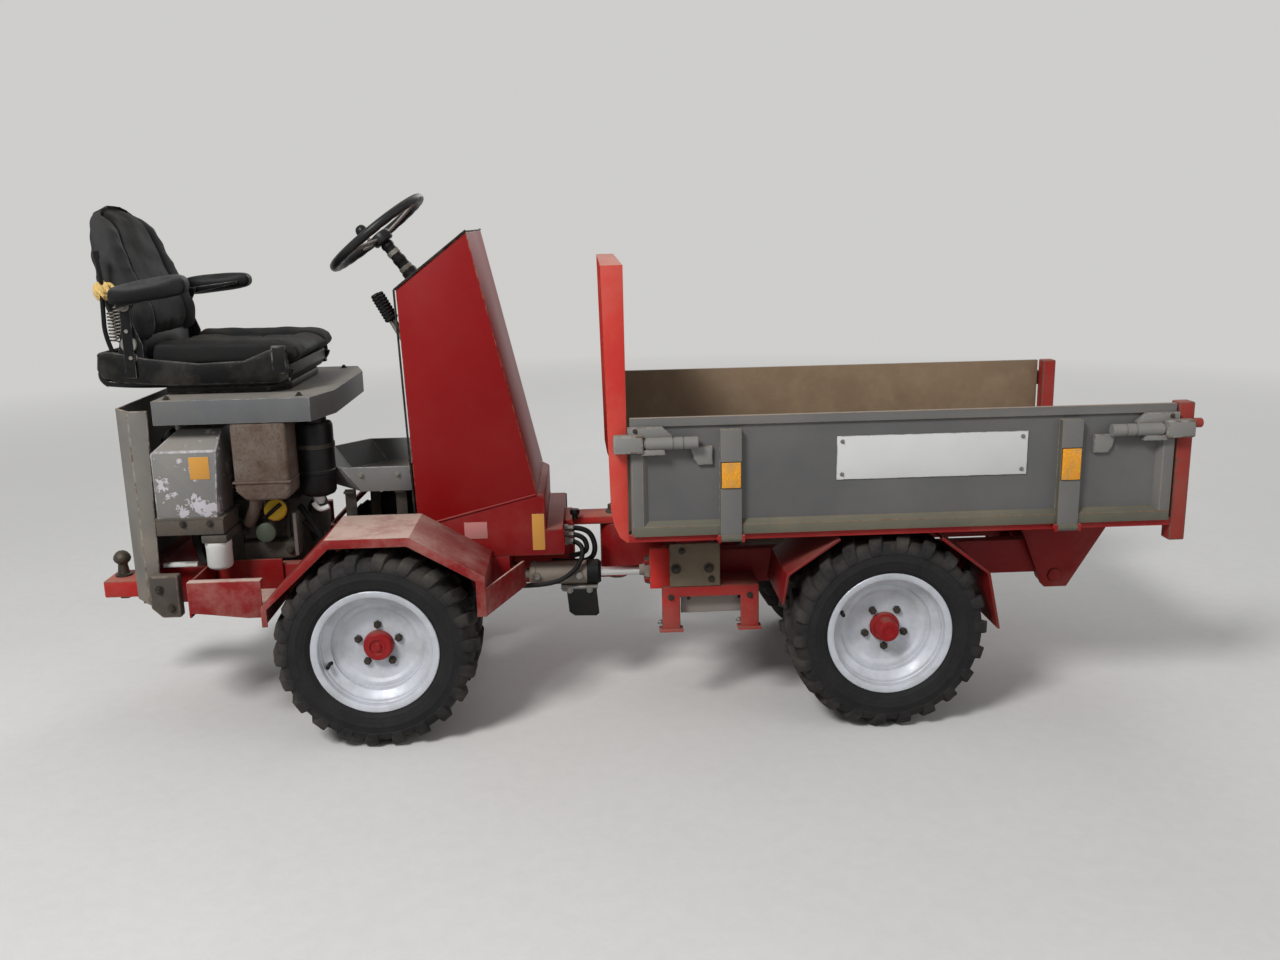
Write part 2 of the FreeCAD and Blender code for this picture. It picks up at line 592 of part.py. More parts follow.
def rear_guard():
    """Bent steel guard round the tail: flat back, bevelled corners, side returns."""
    body = new_body("rear_guard")
    plan = (
        ("guard_low_front", "-guard_half"),
        ("guard_bevel_x", "-guard_half"),
        ("guard_rear", "-guard_bevel_half"),
        ("guard_rear", "guard_bevel_half"),
        ("guard_bevel_x", "guard_half"),
        ("guard_low_front", "guard_half"),
        ("guard_low_front", "guard_half - guard_steel"),
        ("guard_bevel_x + guard_steel * 0.5", "guard_half - guard_steel"),
        ("guard_rear + guard_steel", "guard_bevel_half - guard_steel * 0.4"),
        ("guard_rear + guard_steel", "-guard_bevel_half + guard_steel * 0.4"),
        ("guard_bevel_x + guard_steel * 0.5", "-guard_half + guard_steel"),
        ("guard_low_front", "-guard_half + guard_steel"),
    )
    pad(body, "wrap", "XY_Plane", plan, "guard_top - guard_bottom", start="guard_bottom")
    slant = (
        ("guard_low_front", "guard_bottom"),
        ("guard_top_front", "guard_top"),
        ("guard_low_front + guard_overrun", "guard_top"),
    )
    pocket(body, "slant", "XZ_Plane", slant, "3 * guard_half", midplane=True)
    return body


rear_guard()


def corner_blocks():
    """Bevelled buffer blocks low on the guard's sides."""
    body = new_body("corner_blocks")
    profile = (
        ("block_rear", "block_high"),
        ("block_front", "block_high"),
        ("block_front", "block_low"),
        ("block_rear + block_bevel", "block_low"),
        ("block_rear", "block_low + block_bevel"),
    )
    block = pad(body, "block", "XZ_Plane", profile, "block_depth", start="guard_half")
    both_sides(body, [block])
    return body


corner_blocks()

# Engine: one plain block at its place between the rails.
keep(box("engine", ("engine_rear", "-rail_inner + fit_gap", "engine_bottom"),
         ("engine_front", "rail_inner - fit_gap", "engine_top")), "engine_block")


def side_tanks():
    """Fuel and oil tanks, one each side of the engine, rear top corner cut off."""
    body = new_body("side_tanks")
    profile = (
        ("tank_rear", "tank_bottom"),
        ("tank_rear", "tank_top - tank_cut"),
        ("tank_rear + tank_cut", "tank_top"),
        ("tank_front_top", "tank_top"),
        ("tank_front_low", "tank_bottom"),
    )
    tank = pad(body, "tank", "XZ_Plane", profile, "tank_outer - rail_inner", start="rail_inner")
    shelf = (
        ("tank_rear", "tank_bottom - tank_shelf"),
        ("tank_rear", "tank_bottom"),
        ("tank_front_low", "tank_bottom"),
        ("tank_front_low + tray_slope", "tank_bottom - tank_shelf"),
    )
    tray = pad(body, "tray", "XZ_Plane", shelf, "tank_outer - rail_inner + tray_lip",
               start="rail_inner")
    both_sides(body, [tank, tray])
    return body


side_tanks()


def silencer():
    """Box silencer under the deck on the right side, with rounded lower corners."""
    body = new_body("silencer")
    profile = (
        ("silencer_rear + silencer_round", "silencer_bottom"),
        ("silencer_front - silencer_round * 0.5", "silencer_bottom"),
        ("silencer_front", "silencer_bottom + silencer_round * 0.5"),
        ("silencer_front", "deck_bottom - fit_gap"),
        ("silencer_rear", "deck_bottom - fit_gap"),
        ("silencer_rear", "silencer_bottom + silencer_round"),
    )
    pad(body, "can", "XZ_Plane", profile, "tank_outer - rail_inner", start="rail_inner")
    return body


silencer()

# Spin-on oil filter under its head, which is bolted to the engine's side.
fuse("oil_filter", [
    rod("filter_can", "filter_radius", ("filter_x", "filter_y", "filter_bottom"), "z",
        "filter_top - filter_bottom"),
    box("filter_arm", ("filter_x - filter_radius", "filter_y - filter_radius", "filter_top"),
        ("filter_x + filter_radius", "-rail_inner", "filter_top + filter_head")),
])


def seat_deck():
    """Folded deck over the engine, front corners cut, hollow below."""
    body = new_body("seat_deck")
    plan = (
        ("deck_rear", "-deck_half"),
        ("deck_front - deck_corner * 0.3", "-deck_half"),
        ("deck_front", "-deck_half + deck_corner"),
        ("deck_front", "deck_half - deck_corner"),
        ("deck_front - deck_corner * 0.3", "deck_half"),
        ("deck_rear", "deck_half"),
    )
    pad(body, "slab", "XY_Plane", plan, "deck_top - deck_bottom", start="deck_bottom")
    hollow = (
        ("deck_rear + deck_wall", "-deck_half + deck_wall"),
        ("deck_front - deck_corner * 0.3 - deck_wall * 0.6", "-deck_half + deck_wall"),
        ("deck_front - deck_wall", "-deck_half + deck_corner + deck_wall * 0.6"),
        ("deck_front - deck_wall", "deck_half - deck_corner - deck_wall * 0.6"),
        ("deck_front - deck_corner * 0.3 - deck_wall * 0.6", "deck_half - deck_wall"),
        ("deck_rear + deck_wall", "deck_half - deck_wall"),
    )
    pocket(body, "underside", "XY_Plane", hollow, "deck_top - deck_bottom - deck_wall",
           start="deck_bottom")
    for mark, corner_x, corner_y in (
        ("rear_right", "engine_rear", "-rail_inner"), ("rear_left", "engine_rear", "rail_inner - deck_foot"),
        ("front_right", "engine_front - deck_foot", "-rail_inner"),
        ("front_left", "engine_front - deck_foot", "rail_inner - deck_foot"),
    ):
        foot = ((corner_x, corner_y), (corner_x + " + deck_foot", corner_y),
                (corner_x + " + deck_foot", corner_y + " + deck_foot"),
                (corner_x, corner_y + " + deck_foot"))
        pad(body, "foot_" + mark, "XY_Plane", foot, "deck_top - engine_top - fit_gap - 1",
            start="engine_top + fit_gap")
    return body


seat_deck()

# Seat: slide base, moulded pan, cushion, back and two arm rests.
keep(box("slide", ("slide_rear", "-slide_half", "deck_top"),
         ("slide_front", "slide_half", "slide_top")), "seat_base")


def seat_pan():
    body = new_body("seat_pan")
    profile = (
        ("pan_rear + pan_round", "pan_low_rear - pan_tail"),
        ("slide_rear", "slide_top"),
        ("slide_front", "slide_top"),
        ("pan_front", "pan_low_front + pan_edge * 0.6"),
        ("pan_front", "cushion_low"),
        ("pan_rear + pan_round", "cushion_low"),
        ("pan_rear", "pan_low_rear"),
    )
    pad(body, "tub", "XZ_Plane", profile, "2 * pan_half", midplane=True)
    cheek = (
        ("back_foot_x - cheek_rear", "cushion_low - cheek_lap"),
        ("back_foot_x - cheek_rear + cheek_width", "cushion_low - cheek_lap"),
        ("back_foot_x - cheek_rear + cheek_width - cheek_taper", "back_foot_z + cheek_rise"),
        ("back_foot_x - cheek_rear + cheek_taper", "back_foot_z + cheek_rise"),
    )
    hinge = pad(body, "cheek", "XZ_Plane", cheek, "pan_half - back_half - fit_gap",
                start="back_half + fit_gap")
    both_sides(body, [hinge])
    return body


seat_pan()


def seat_cushion():
    body = new_body("seat_cushion")
    profile = (
        ("cushion_rear", "cushion_low + fit_gap"),
        ("cushion_front - cushion_nose", "cushion_low + fit_gap"),
        ("cushion_front", "cushion_low + cushion_nose"),
        ("cushion_front - cushion_nose * 0.5", "cushion_high - cushion_drop"),
        ("cushion_rear + cushion_flat", "cushion_high"),
        ("cushion_rear", "cushion_high - cushion_sag"),
    )
    pad(body, "foam", "XZ_Plane", profile, "2 * cushion_half", midplane=True)
    return body


seat_cushion()


def seat_back():
    """Backrest with a rounded top, leaning rearwards."""
    body = new_body("seat_back")
    front = (
        ("-back_half", "0"),
        ("back_half", "0"),
        ("back_half", "back_length * 0.3"),
        ("back_half - back_taper", "back_length * 0.66"),
        ("back_top_half + back_shoulder", "back_length * 0.87"),
        ("back_top_half * 0.7", "back_length"),
        ("-back_top_half * 0.7", "back_length"),
        ("-back_top_half - back_shoulder", "back_length * 0.87"),
        ("-back_half + back_taper", "back_length * 0.66"),
        ("-back_half", "back_length * 0.3"),
    )
    pad(body, "foam", "YZ_Plane", front, "back_thickness", start="-back_thickness")
    lean = FreeCAD.Rotation(vector(0, 1, 0), -size.back_lean)
    place(body, "back_foot_x", "0", "back_foot_z", lean)
    return body


seat_back()


def armrests():
    """Padded rests on posts from the pan's sides."""
    body = new_body("armrests")
    profile = (
        ("arm_rear", "arm_rear_z - arm_thickness * 0.5"),
        ("arm_front - arm_round", "arm_front_z - arm_thickness * 0.5"),
        ("arm_front", "arm_front_z - arm_thickness * 0.2"),
        ("arm_front", "arm_front_z + arm_thickness * 0.3"),
        ("arm_front - arm_round", "arm_front_z + arm_thickness * 0.5"),
        ("arm_rear", "arm_rear_z + arm_thickness * 0.5"),
    )
    rest = pad(body, "rest", "XZ_Plane", profile, "arm_width", start="arm_inner")
    post = (
        ("arm_rear + arm_post_inset", "pan_low_rear - pan_tail"),
        ("arm_rear + arm_post_inset + arm_post", "pan_low_rear - pan_tail"),
        ("arm_rear + arm_post_inset + arm_post", "arm_rear_z"),
        ("arm_rear + arm_post_inset", "arm_rear_z"),
    )
    stand = pad(body, "stand", "XZ_Plane", post, "arm_inner + arm_lap - pan_half", start="pan_half")
    both_sides(body, [rest, stand])
    return body


armrests()


def console():
    """Tapering steering tower: side plates, front plate, dash plate and a recessed back."""
    body = new_body("console")
    profile = (
        ("console_top_rear_x", "console_top_rear_z"),
        ("console_top_front_x", "console_top_front_z"),
        ("console_low_front_x", "console_low_front_z"),
        ("console_low_rear_x", "console_low_rear_z"),
    )
    pad(body, "tower", "XZ_Plane", profile, "2 * rail_outer", midplane=True)
    front_slope = ("(console_low_front_x - console_top_front_x) / "
                   "(console_top_front_z - console_low_front_z)")
    dash_slope = ("(console_top_front_z - console_top_rear_z) / "
                  "(console_top_front_x - console_top_rear_x)")
    inside = (
        ("console_low_rear_x - console_mouth", "console_top_rear_z - rear_lip"),
        ("console_top_rear_x + console_steel", "console_top_rear_z - rear_lip"),
        ("console_top_rear_x + console_steel",
         f"console_top_rear_z + console_steel * {dash_slope} - dash_depth"),
        (f"console_top_front_x + dash_depth * {front_slope} - console_steel",
         f"console_top_front_z - dash_depth - console_steel * {dash_slope}"),
        (f"console_low_front_x + console_mouth * {front_slope} - console_steel",
         "console_low_front_z - console_mouth"),
        ("console_low_rear_x - console_mouth", "console_low_rear_z - console_mouth"),
    )
    pocket(body, "inside", "XZ_Plane", inside, "2 * rail_outer - 2 * console_steel", midplane=True)
    return body


console()


def console_base():
    """Welded box under the console that reaches back to the steering pivot."""
    body = new_body("console_base")
    profile = (
        ("console_low_rear_x", "rail_top"),
        ("console_low_rear_x", "console_low_rear_z"),
        ("console_low_front_x", "console_low_front_z"),
        ("well_front", "well_high"),
        ("well_front", "well_neck_z"),
        ("well_front_low", "well_neck_z"),
        ("well_front_low", "rail_top"),
    )
    pad(body, "welded_box", "XZ_Plane", profile, "2 * rail_outer", midplane=True)
    return body


console_base()

# Steering column: tube that stands square on the dash and carries the wheel.
DASH_TILT = ("atan2(console_top_front_z - console_top_rear_z; "
             "console_top_front_x - console_top_rear_x)")


def on_column(thing, reach):
    """Turns a thing drawn along +Z onto the column's axis, a reach above the dash."""
    place(thing, f"console_top_rear_x + column_foot * cos({DASH_TILT}) - ({reach}) * sin({DASH_TILT})",
          "0",
          f"console_top_rear_z + column_foot * sin({DASH_TILT}) + ({reach}) * cos({DASH_TILT})",
          FreeCAD.Rotation(vector(0, -1, 0), 1))
    thing.setExpression("Placement.Rotation.Angle", bound(DASH_TILT))
    return thing


column = fuse("steering_column", [
    rod("column_tube", "column_radius", ("0", "0", "0"), "z",
        "column_reach - steering_dish - fit_gap"),
    rod("column_foot_collar", "column_collar", ("0", "0", "0"), "z", "collar_length"),
])
on_column(column, "fit_gap")


def steering_wheel():
    """Eight-sided rim, dished spokes, hub and a turning knob."""
    section = doc.addObject("Part::RegularPolygon", "steering_section")
    section.Polygon = 8
    section.setExpression("Circumradius", bound("steering_rim"))
    place(section, "steering_radius - steering_rim", "0", "0", TURNS["y"])
    ring = doc.addObject("Part::Revolution", "steering_ring")
    ring.Source = section
    ring.Axis = vector(0, 0, 1)
    ring.Angle = 360
    ring.Solid = True
    pieces = [ring, rod("steering_hub", "steering_hub_radius", ("0", "0", "-steering_dish"), "z",
                        "steering_dish")]
    for number in range(int(size.spoke_count)):
        spoke = doc.addObject("Part::Cylinder", f"spoke_{number + 1}")
        spoke.setExpression("Radius", bound("spoke_radius"))
        rise = math.degrees(math.atan2(size.steering_dish / 2, size.steering_radius))
        turn = FreeCAD.Rotation(vector(0, 0, 1), 360 / size.spoke_count * number)
        spoke.setExpression("Height", bound("steering_radius - steering_rim"))
        spoke.Placement = FreeCAD.Placement(
            vector(0, 0, -size.steering_dish / 2), turn * FreeCAD.Rotation(vector(0, 1, 0), 90 - rise))
        pieces.append(spoke)
    knob_x = "-(steering_radius - steering_rim) * sin(knob_turn)"
    knob_y = "(steering_radius - steering_rim) * cos(knob_turn)"
    pieces.append(rod("knob_stem", "knob_stem_radius", (knob_x, knob_y, "0"), "z", "knob_height"))
    for mark, low_radius, high_radius, low in (
        ("low", "knob_radius * 0.6", "knob_radius", "knob_height - knob_radius"),
        ("high", "knob_radius", "knob_radius * 0.6", "knob_height"),
    ):
        cone = doc.addObject("Part::Cone", "knob_" + mark)
        cone.setExpression("Radius1", bound(low_radius))
        cone.setExpression("Radius2", bound(high_radius))
        cone.setExpression("Height", bound("knob_radius"))
        pieces.append(place(cone, knob_x, knob_y, low))
    wheel = fuse("steering_wheel", pieces)
    return on_column(wheel, "column_reach + fit_gap")


steering_wheel()


def levers():
    """Two control levers with round grips on one cross shaft inside the console."""
    foot = vector(size.lever_foot_x, 0, size.lever_foot_z)
    top = vector(size.lever_top_x, 0, size.lever_top_z)
    along = top - foot
    reach = along.Length
    half = size.wheel_track / 2 - size.tyre_width / 2 - size.tyre_gap - size.console_steel
    solid = Part.makeCylinder(size.lever_shaft_radius, 2 * half, foot - vector(0, half, 0),
                              vector(0, 1, 0))
    for number in range(2):
        shift = vector(0, size.lever_y + number * size.lever_spacing, 0)
        grip_start = foot + shift + along * (1 - size.lever_grip / reach)
        solid = solid.fuse([
            Part.makeCylinder(size.lever_radius, reach, foot + shift, along),
            Part.makeCylinder(size.lever_grip_radius, size.lever_grip, grip_start, along),
        ])
    feature = doc.addObject("Part::Feature", "levers")
    feature.Shape = solid.removeSplitter()
    return keep(feature, "control_levers")


levers()


# Steering pivot: a welded yoke on the rear half grips the front half's tongue round one pin.
def rounded_arm(name, back, half, low, height):
    """An arm from a plate to the pivot, with a round end on the pivot's axis."""
    return [
        box(name + "_bar", (back, "-" + half, low), ("0", half, low + " + " + height)),
        rod(name + "_end", half, ("0", "0", low), "z", height),
    ]


fuse("pivot_yoke", [
    box("neck", ("rear_rail_front", "-yoke_half", "yoke_low"), ("yoke_rear", "yoke_half", "rail_top")),
    box("yoke_back", ("well_front_low", "-yoke_half", "yoke_low"),
        ("yoke_rear", "yoke_half", "yoke_high")),
    *rounded_arm("yoke_lower", "well_front_low", "yoke_arm_half", "yoke_low", "yoke_low_arm"),
    *rounded_arm("yoke_upper", "well_front_low", "yoke_arm_half", "yoke_high - yoke_high_arm",
                 "yoke_high_arm"),
    rod("pivot_pin", "pivot_radius", ("0", "0", "yoke_low - pin_head"), "z",
        "yoke_high - yoke_low + 2 * pin_head"),
    rod("pivot_head", "pin_head_radius", ("0", "0", "yoke_high"), "z", "pin_head"),
    rod("pivot_nut", "pin_head_radius", ("0", "0", "yoke_low - pin_head"), "z", "pin_head"),
])

tongue_low = "yoke_low + yoke_low_arm + fit_gap"
tongue_height = "yoke_high - yoke_high_arm - yoke_low - yoke_low_arm - 2 * fit_gap"
tongue = doc.addObject("Part::MultiFuse", "tongue_solid")
tongue.Shapes = [
    box("tongue_bar", ("0", "-yoke_arm_half", tongue_low),
        ("tongue_front", "yoke_arm_half", f"{tongue_low} + {tongue_height}")),
    rod("tongue_end", "yoke_arm_half", ("0", "0", tongue_low), "z", tongue_height),
]
pivot_hole = rod("pivot_hole", "pivot_radius + fit_gap", ("0", "0", tongue_low + " - 1"), "z",
                 tongue_height + " + 2")
keep(cut("tongue", tongue, pivot_hole), "pivot_tongue")


# Hydraulic cylinders, drawn along +X from their foot pin: a barrel with its foot eye, and a rod
# with its own eye and pin, which is where each closed linkage is opened.
UPRIGHT = "z"
CROSSWISE = "y"


def barrel(label, pin_axis, radius, length, bore, neck):
    low = {"z": ("0", "0", "-clevis_width / 2"), "y": ("0", "-clevis_width / 2", "0")}[pin_axis]
    solid = doc.addObject("Part::MultiFuse", label + "_solid")
    solid.Shapes = [
        rod(label + "_tube", radius, (neck, "0", "0"), "x", f"{length} - {neck}"),
        rod(label + "_neck", "neck_radius", ("clevis_pin", "0", "0"), "x", neck + " - clevis_pin"),
        rod(label + "_eye", "clevis_radius", low, pin_axis, "clevis_width"),
    ]
    holes = doc.addObject("Part::MultiFuse", label + "_holes")
    hole_low = {"z": ("0", "0", "-clevis_width"), "y": ("0", "-clevis_width", "0")}[pin_axis]
    holes.Shapes = [
        rod(label + "_bore", bore + " + fit_gap", (neck + " + barrel_end_wall", "0", "0"), "x", length),
        rod(label + "_pin_hole", "clevis_pin + fit_gap", hole_low, pin_axis, "2 * clevis_width"),
    ]
    return keep(cut(label, solid, holes), label)


def piston_rod(label, pin_axis, radius, inside, reach):
    low = {"z": (reach, "0", "-clevis_width / 2"), "y": (reach, "-clevis_width / 2", "0")}[pin_axis]
    return fuse(label, [
        rod(label + "_stem", radius, (f"{reach} - {inside}", "0", "0"), "x", inside),
        rod(label + "_eye", "clevis_radius", low, pin_axis, "clevis_width"),
    ])


steer_reach = "(steer_eye_x - steer_anchor_x)"
for piece in (
    barrel("steer_cylinder", UPRIGHT, "barrel_radius", "barrel_length", "steer_rod_radius",
           "steer_neck"),
    piston_rod("steer_rod", UPRIGHT, "steer_rod_radius", f"({steer_reach} - steer_rod_inside)",
               steer_reach),
):
    place(piece, "steer_anchor_x", "-steer_offset", "steer_z")

ram_reach = "(sqrt((ram_eye_x - ram_foot_x) ^ 2 + (ram_eye_z - ram_foot_z) ^ 2))"
ram_pitch = math.degrees(math.atan2(size.ram_eye_z - size.ram_foot_z,
                                    size.ram_eye_x - size.ram_foot_x))
for piece in (
    barrel("tip_cylinder", CROSSWISE, "ram_radius", "ram_length", "ram_rod_radius", "ram_neck"),
    piston_rod("tip_rod", CROSSWISE, "ram_rod_radius", f"({ram_reach} - ram_rod_inside)", ram_reach),
):
    place(piece, "ram_foot_x", "0", "ram_foot_z", FreeCAD.Rotation(vector(0, 1, 0), -ram_pitch))


def upright_ears(name, spot_y, back, front):
    """Two level plates over and under an eye on the steering cylinder's line."""
    gap = "(clevis_width / 2 + ear_gap)"
    pieces = []
    for mark, low in (("low", f"steer_z - {gap} - ear_steel"), ("high", f"steer_z + {gap}")):
        pieces.append(box(f"{name}_{mark}", (back, f"{spot_y} - ear_half", low),
                          (front, f"{spot_y} + ear_half", f"{low} + ear_steel")))
    return pieces


# Front chassis: rails either side of the tipping cylinder, cross members, tipping shaft.
def front_frame():
    pieces = []
    for mark, low, high in (("right", "-front_rail_outer", "-front_rail_inner"),
                            ("left", "front_rail_inner", "front_rail_outer")):
        pieces.append(box("front_rail_" + mark, ("front_rail_rear", low, "front_rail_bottom"),
                          ("front_rail_end", high, "front_rail_top")))
        pieces.append(rod("tip_boss_" + mark, "tip_boss_radius", ("tip_x", low, "tip_z"), "y",
                          "front_rail_outer - front_rail_inner"))
    for mark, start, steel in (("rear", "front_rail_rear", "cross_thickness"),
                               ("middle", "ram_foot_x - foot_ear_back - cross_sheet", "cross_sheet"),
                               ("front", "front_rail_end - cross_sheet", "cross_sheet")):
        pieces.append(box("front_cross_" + mark, (start, "-front_rail_outer", "front_rail_bottom"),
                          (f"{start} + {steel}", "front_rail_outer", "front_rail_top")))
    pieces += upright_ears("rod_ear", "-steer_offset", "steer_eye_x - ear_past_pin", "front_rail_rear")
    for mark, low in (("right", "-clevis_width / 2 - ear_gap - ear_steel"),
                      ("left", "clevis_width / 2 + ear_gap")):
        pieces.append(box("foot_ear_" + mark,
                          ("ram_foot_x - foot_ear_back", low, "ram_foot_z - foot_ear_half"),
                          ("ram_foot_x + foot_ear_half", low + " + ear_steel",
                           "ram_foot_z + foot_ear_half")))
    pieces.append(rod("foot_pin", "clevis_pin", ("ram_foot_x", "-clevis_width / 2 - ear_steel",
                                                 "ram_foot_z"), "y", "clevis_width + 2 * ear_steel"))
    pieces.append(rod("tip_shaft", "tip_pin_radius",
                      ("tip_x", "-front_rail_outer - running_gap - hinge_plate_steel - shaft_end",
                       "tip_z"), "y",
                      "2 * (front_rail_outer + running_gap + hinge_plate_steel + shaft_end)"))
    return fuse("front_frame", pieces)


front_frame()


def front_arches():
    """Bent plates before and behind each front wheel, carried by the rails' outer faces."""
    body = new_body("front_arches")
    plates = []
    behind = (
        ("arch_rear_x", "arch_foot_z"), ("arch_rear_x + arch_lean", "arch_knee_z"),
        ("arch_rear_top_x", "arch_top_z"), ("arch_rear_top_x - arch_strip * 0.6", "arch_top_z + arch_strip"),
        ("arch_rear_x + arch_lean - arch_strip", "arch_knee_z + arch_strip * 0.5"),
        ("arch_rear_x - arch_strip", "arch_foot_z"),
    )
    before = (
        ("arch_front_top_x", "arch_top_z - arch_front_drop"),
        ("arch_front_knee_x", "arch_knee_z - arch_knee_drop"),
        ("arch_front_x", "arch_front_foot_z"), ("arch_front_x + arch_strip", "arch_front_foot_z"),
        ("arch_front_knee_x + arch_strip", "arch_knee_z - arch_knee_drop + arch_strip * 0.5"),
        ("arch_front_top_x + arch_strip * 0.6", "arch_top_z - arch_front_drop + arch_strip"),
    )
    for name, profile in (("behind", behind), ("before", before)):
        plates.append(pad(body, name, "XZ_Plane", profile, "arch_outer - front_rail_outer",
                          start="front_rail_outer"))
    both_sides(body, plates)
    return body


front_arches()


def front_brackets():
    """Angled gussets from the rails to the bolted side plates."""
    body = new_body("front_brackets")
    plan = (
        ("bracket_rear", "-bracket_outer + bracket_bevel"),
        ("bracket_rear", "-bracket_outer"),
        ("bracket_front", "-bracket_outer"),
        ("bracket_front", "-front_rail_outer"),
        ("front_rail_rear", "-front_rail_outer"),
    )
    gusset = pad(body, "gusset", "XY_Plane", plan, "bracket_high - bracket_low", start="bracket_low")
    both_sides(body, [gusset])
    return body


front_brackets()


def side_plates():
    """Bolted box brackets outboard of the rails, behind the front wheels."""
    body = new_body("side_plates")
    face = (("plate_rear", "plate_low"), ("plate_front", "plate_low"), ("plate_front", "plate_high"),
            ("plate_rear", "plate_high"))
    plate = pad(body, "plate", "XZ_Plane", face, "plate_steel", start="plate_outer - plate_steel")
    web_rear = "plate_rear + plate_rib_inset"
    web = ((web_rear, "plate_low"), (web_rear + " + plate_steel", "plate_low"),
           (web_rear + " + plate_steel", "front_rail_top"), (web_rear, "front_rail_top"))
    rib = pad(body, "rib", "XZ_Plane", web, "plate_outer - front_rail_outer - plate_steel",
              start="front_rail_outer")
    both_sides(body, [plate, rib])
    return body


side_plates()


def hangers():
    """Flat legs that hang below the rails and hold the belly plates."""
    body = new_body("hangers")
    legs = []
    for name, middle in (("rear", "leg_rear_x"), ("front", "leg_front_x")):
        face = ((f"{middle} - leg_width / 2", "leg_bottom"),
                (f"{middle} + leg_width / 2", "leg_bottom"),
                (f"{middle} + leg_width / 2", "plate_low - fit_gap"),
                (f"{middle} - leg_width / 2", "plate_low - fit_gap"))
        legs.append(pad(body, name, "XZ_Plane", face, "leg_depth", start="leg_outer - leg_depth"))
    bar = (("bracket_front", "rail_bottom"), ("leg_front_x + leg_width / 2", "rail_bottom"),
           ("leg_front_x + leg_width / 2", "plate_low - fit_gap"), ("bracket_front", "plate_low - fit_gap"))
    shelf = pad(body, "shelf", "XZ_Plane", bar, "leg_outer - front_rail_outer", start="front_rail_outer")
    both_sides(body, legs + [shelf])
    return body


hangers()

# Belly plates between the hanger legs, one each side.
def belly_plates():
    body = new_body("belly_plates")
    face = (("belly_rear", "belly_low"), ("belly_front", "belly_low"),
            ("belly_front", "rail_bottom - fit_gap"), ("belly_rear", "rail_bottom - fit_gap"))
    plate = pad(body, "plate", "XZ_Plane", face, "sheet_steel", start="leg_outer - belly_inset")
    both_sides(body, [plate])
    return body


belly_plates()


# Bed: floor on a rail frame, joists, hinge plates to the tipping shaft, drop-side hinge pins.
def bed_floor():
    pieces = [box("floor_sheet", ("head_front", "-side_skin_in + floor_gap", "bed_rail_high"),
                  ("post_rear", "side_skin_in - floor_gap", "bed_floor_top"))]
    for mark, low, high in (("right", "-bed_half", "-bed_half + bed_rail_width"),
                            ("left", "bed_half - bed_rail_width", "bed_half")):
        pieces.append(box("bed_rail_" + mark, ("head_front", low, "bed_rail_low"),
                          ("post_rear", high, "bed_rail_high")))
    for mark, start in (("rear", "head_front"), ("front", "post_rear - bed_rail_width")):
        pieces.append(box("bed_end_" + mark, (start, "-bed_half", "bed_rail_low"),
                          (start + " + bed_rail_width", "bed_half", "bed_rail_high")))
    for mark, low, high in (("right", "-joist_half", "-joist_half + joist_width"),
                            ("left", "joist_half - joist_width", "joist_half")):
        pieces.append(box("joist_" + mark, ("head_front", low, "joist_low"),
                          ("post_rear", high, "bed_rail_high")))
    for mark, low in (("right", "-clevis_width / 2 - ear_gap - ear_steel"),
                      ("left", "clevis_width / 2 + ear_gap")):
        pieces.append(box("rod_ear_bed_" + mark,
                          ("ram_eye_x - ram_ear_length / 2", low, "ram_eye_z - foot_ear_half"),
                          ("ram_eye_x + ram_ear_length / 2", low + " + ear_steel", "bed_rail_high")))
    for side, sign in (("right", "-"), ("left", "")):
        for strap in ("strap_rear_x", "strap_front_x"):
            spot = {"-": "-side_hinge_y - knuckle_radius", "": "bed_half"}[sign]
            end = {"-": "-bed_half", "": "side_hinge_y + knuckle_radius"}[sign]
            for place_name, start in (("back", f"{strap} - fit_gap - lug_steel"),
                                      ("fore", f"{strap} + strap_width + fit_gap")):
                pieces.append(box(f"lug_{side}_{strap}_{place_name}",
                                  (start, spot, "side_hinge_z - knuckle_radius"),
                                  (f"{start} + lug_steel", end, "side_hinge_z + knuckle_radius")))
            pieces.append(rod(f"pin_{side}_{strap}", "hinge_pin_radius",
                              (f"{strap} - lug_steel - pin_end", f"{sign}side_hinge_y", "side_hinge_z"), "x",
                              "strap_width + 2 * lug_steel + 2 * pin_end"))
    return fuse("bed_floor", pieces)


bed_floor()


def bed_hinge_plates():
    """Triangular plates that hang the bed on the tipping shaft."""
    body = new_body("bed_hinge_plates")
    face = (("hinge_plate_rear", "bed_rail_low"),
            ("tip_x - tip_boss_radius", "hinge_plate_low + hinge_plate_round"),
            ("tip_x - tip_boss_radius + hinge_plate_round", "hinge_plate_low"),
            ("tip_x + tip_boss_radius", "hinge_plate_low"), ("hinge_plate_front", "bed_rail_low"))
    plate = pad(body, "plate", "XZ_Plane", face, "hinge_plate_steel",
                start="front_rail_outer + running_gap")
    sketch = body.newObject("Sketcher::SketchObject", "shaft_hole_circle")
    sketch.AttachmentSupport = [(origin_part(body, "XZ_Plane"), "")]
    sketch.MapMode = "FlatFace"
    sketch.addGeometry(Part.Circle(vector(0, 0, 0), vector(0, 0, 1), 10), False)
    for kind, formula in (("DistanceX", "tip_x"), ("DistanceY", "tip_z")):
        number = sketch.addConstraint(Sketcher.Constraint(kind, 0, 3, 5.0))
        sketch.setExpression(f"Constraints[{number}]", bound(formula))
    number = sketch.addConstraint(Sketcher.Constraint("Radius", 0, 10))
    sketch.setExpression(f"Constraints[{number}]", bound("tip_pin_radius + fit_gap"))
    mirrored = both_sides(body, [plate])
    hole = body.newObject("PartDesign::Pocket", "shaft_hole")
    hole.Profile = sketch
    hole.setExpression("Length", bound("3 * bed_half"))
    hole.Midplane = True
    return body


bed_hinge_plates()


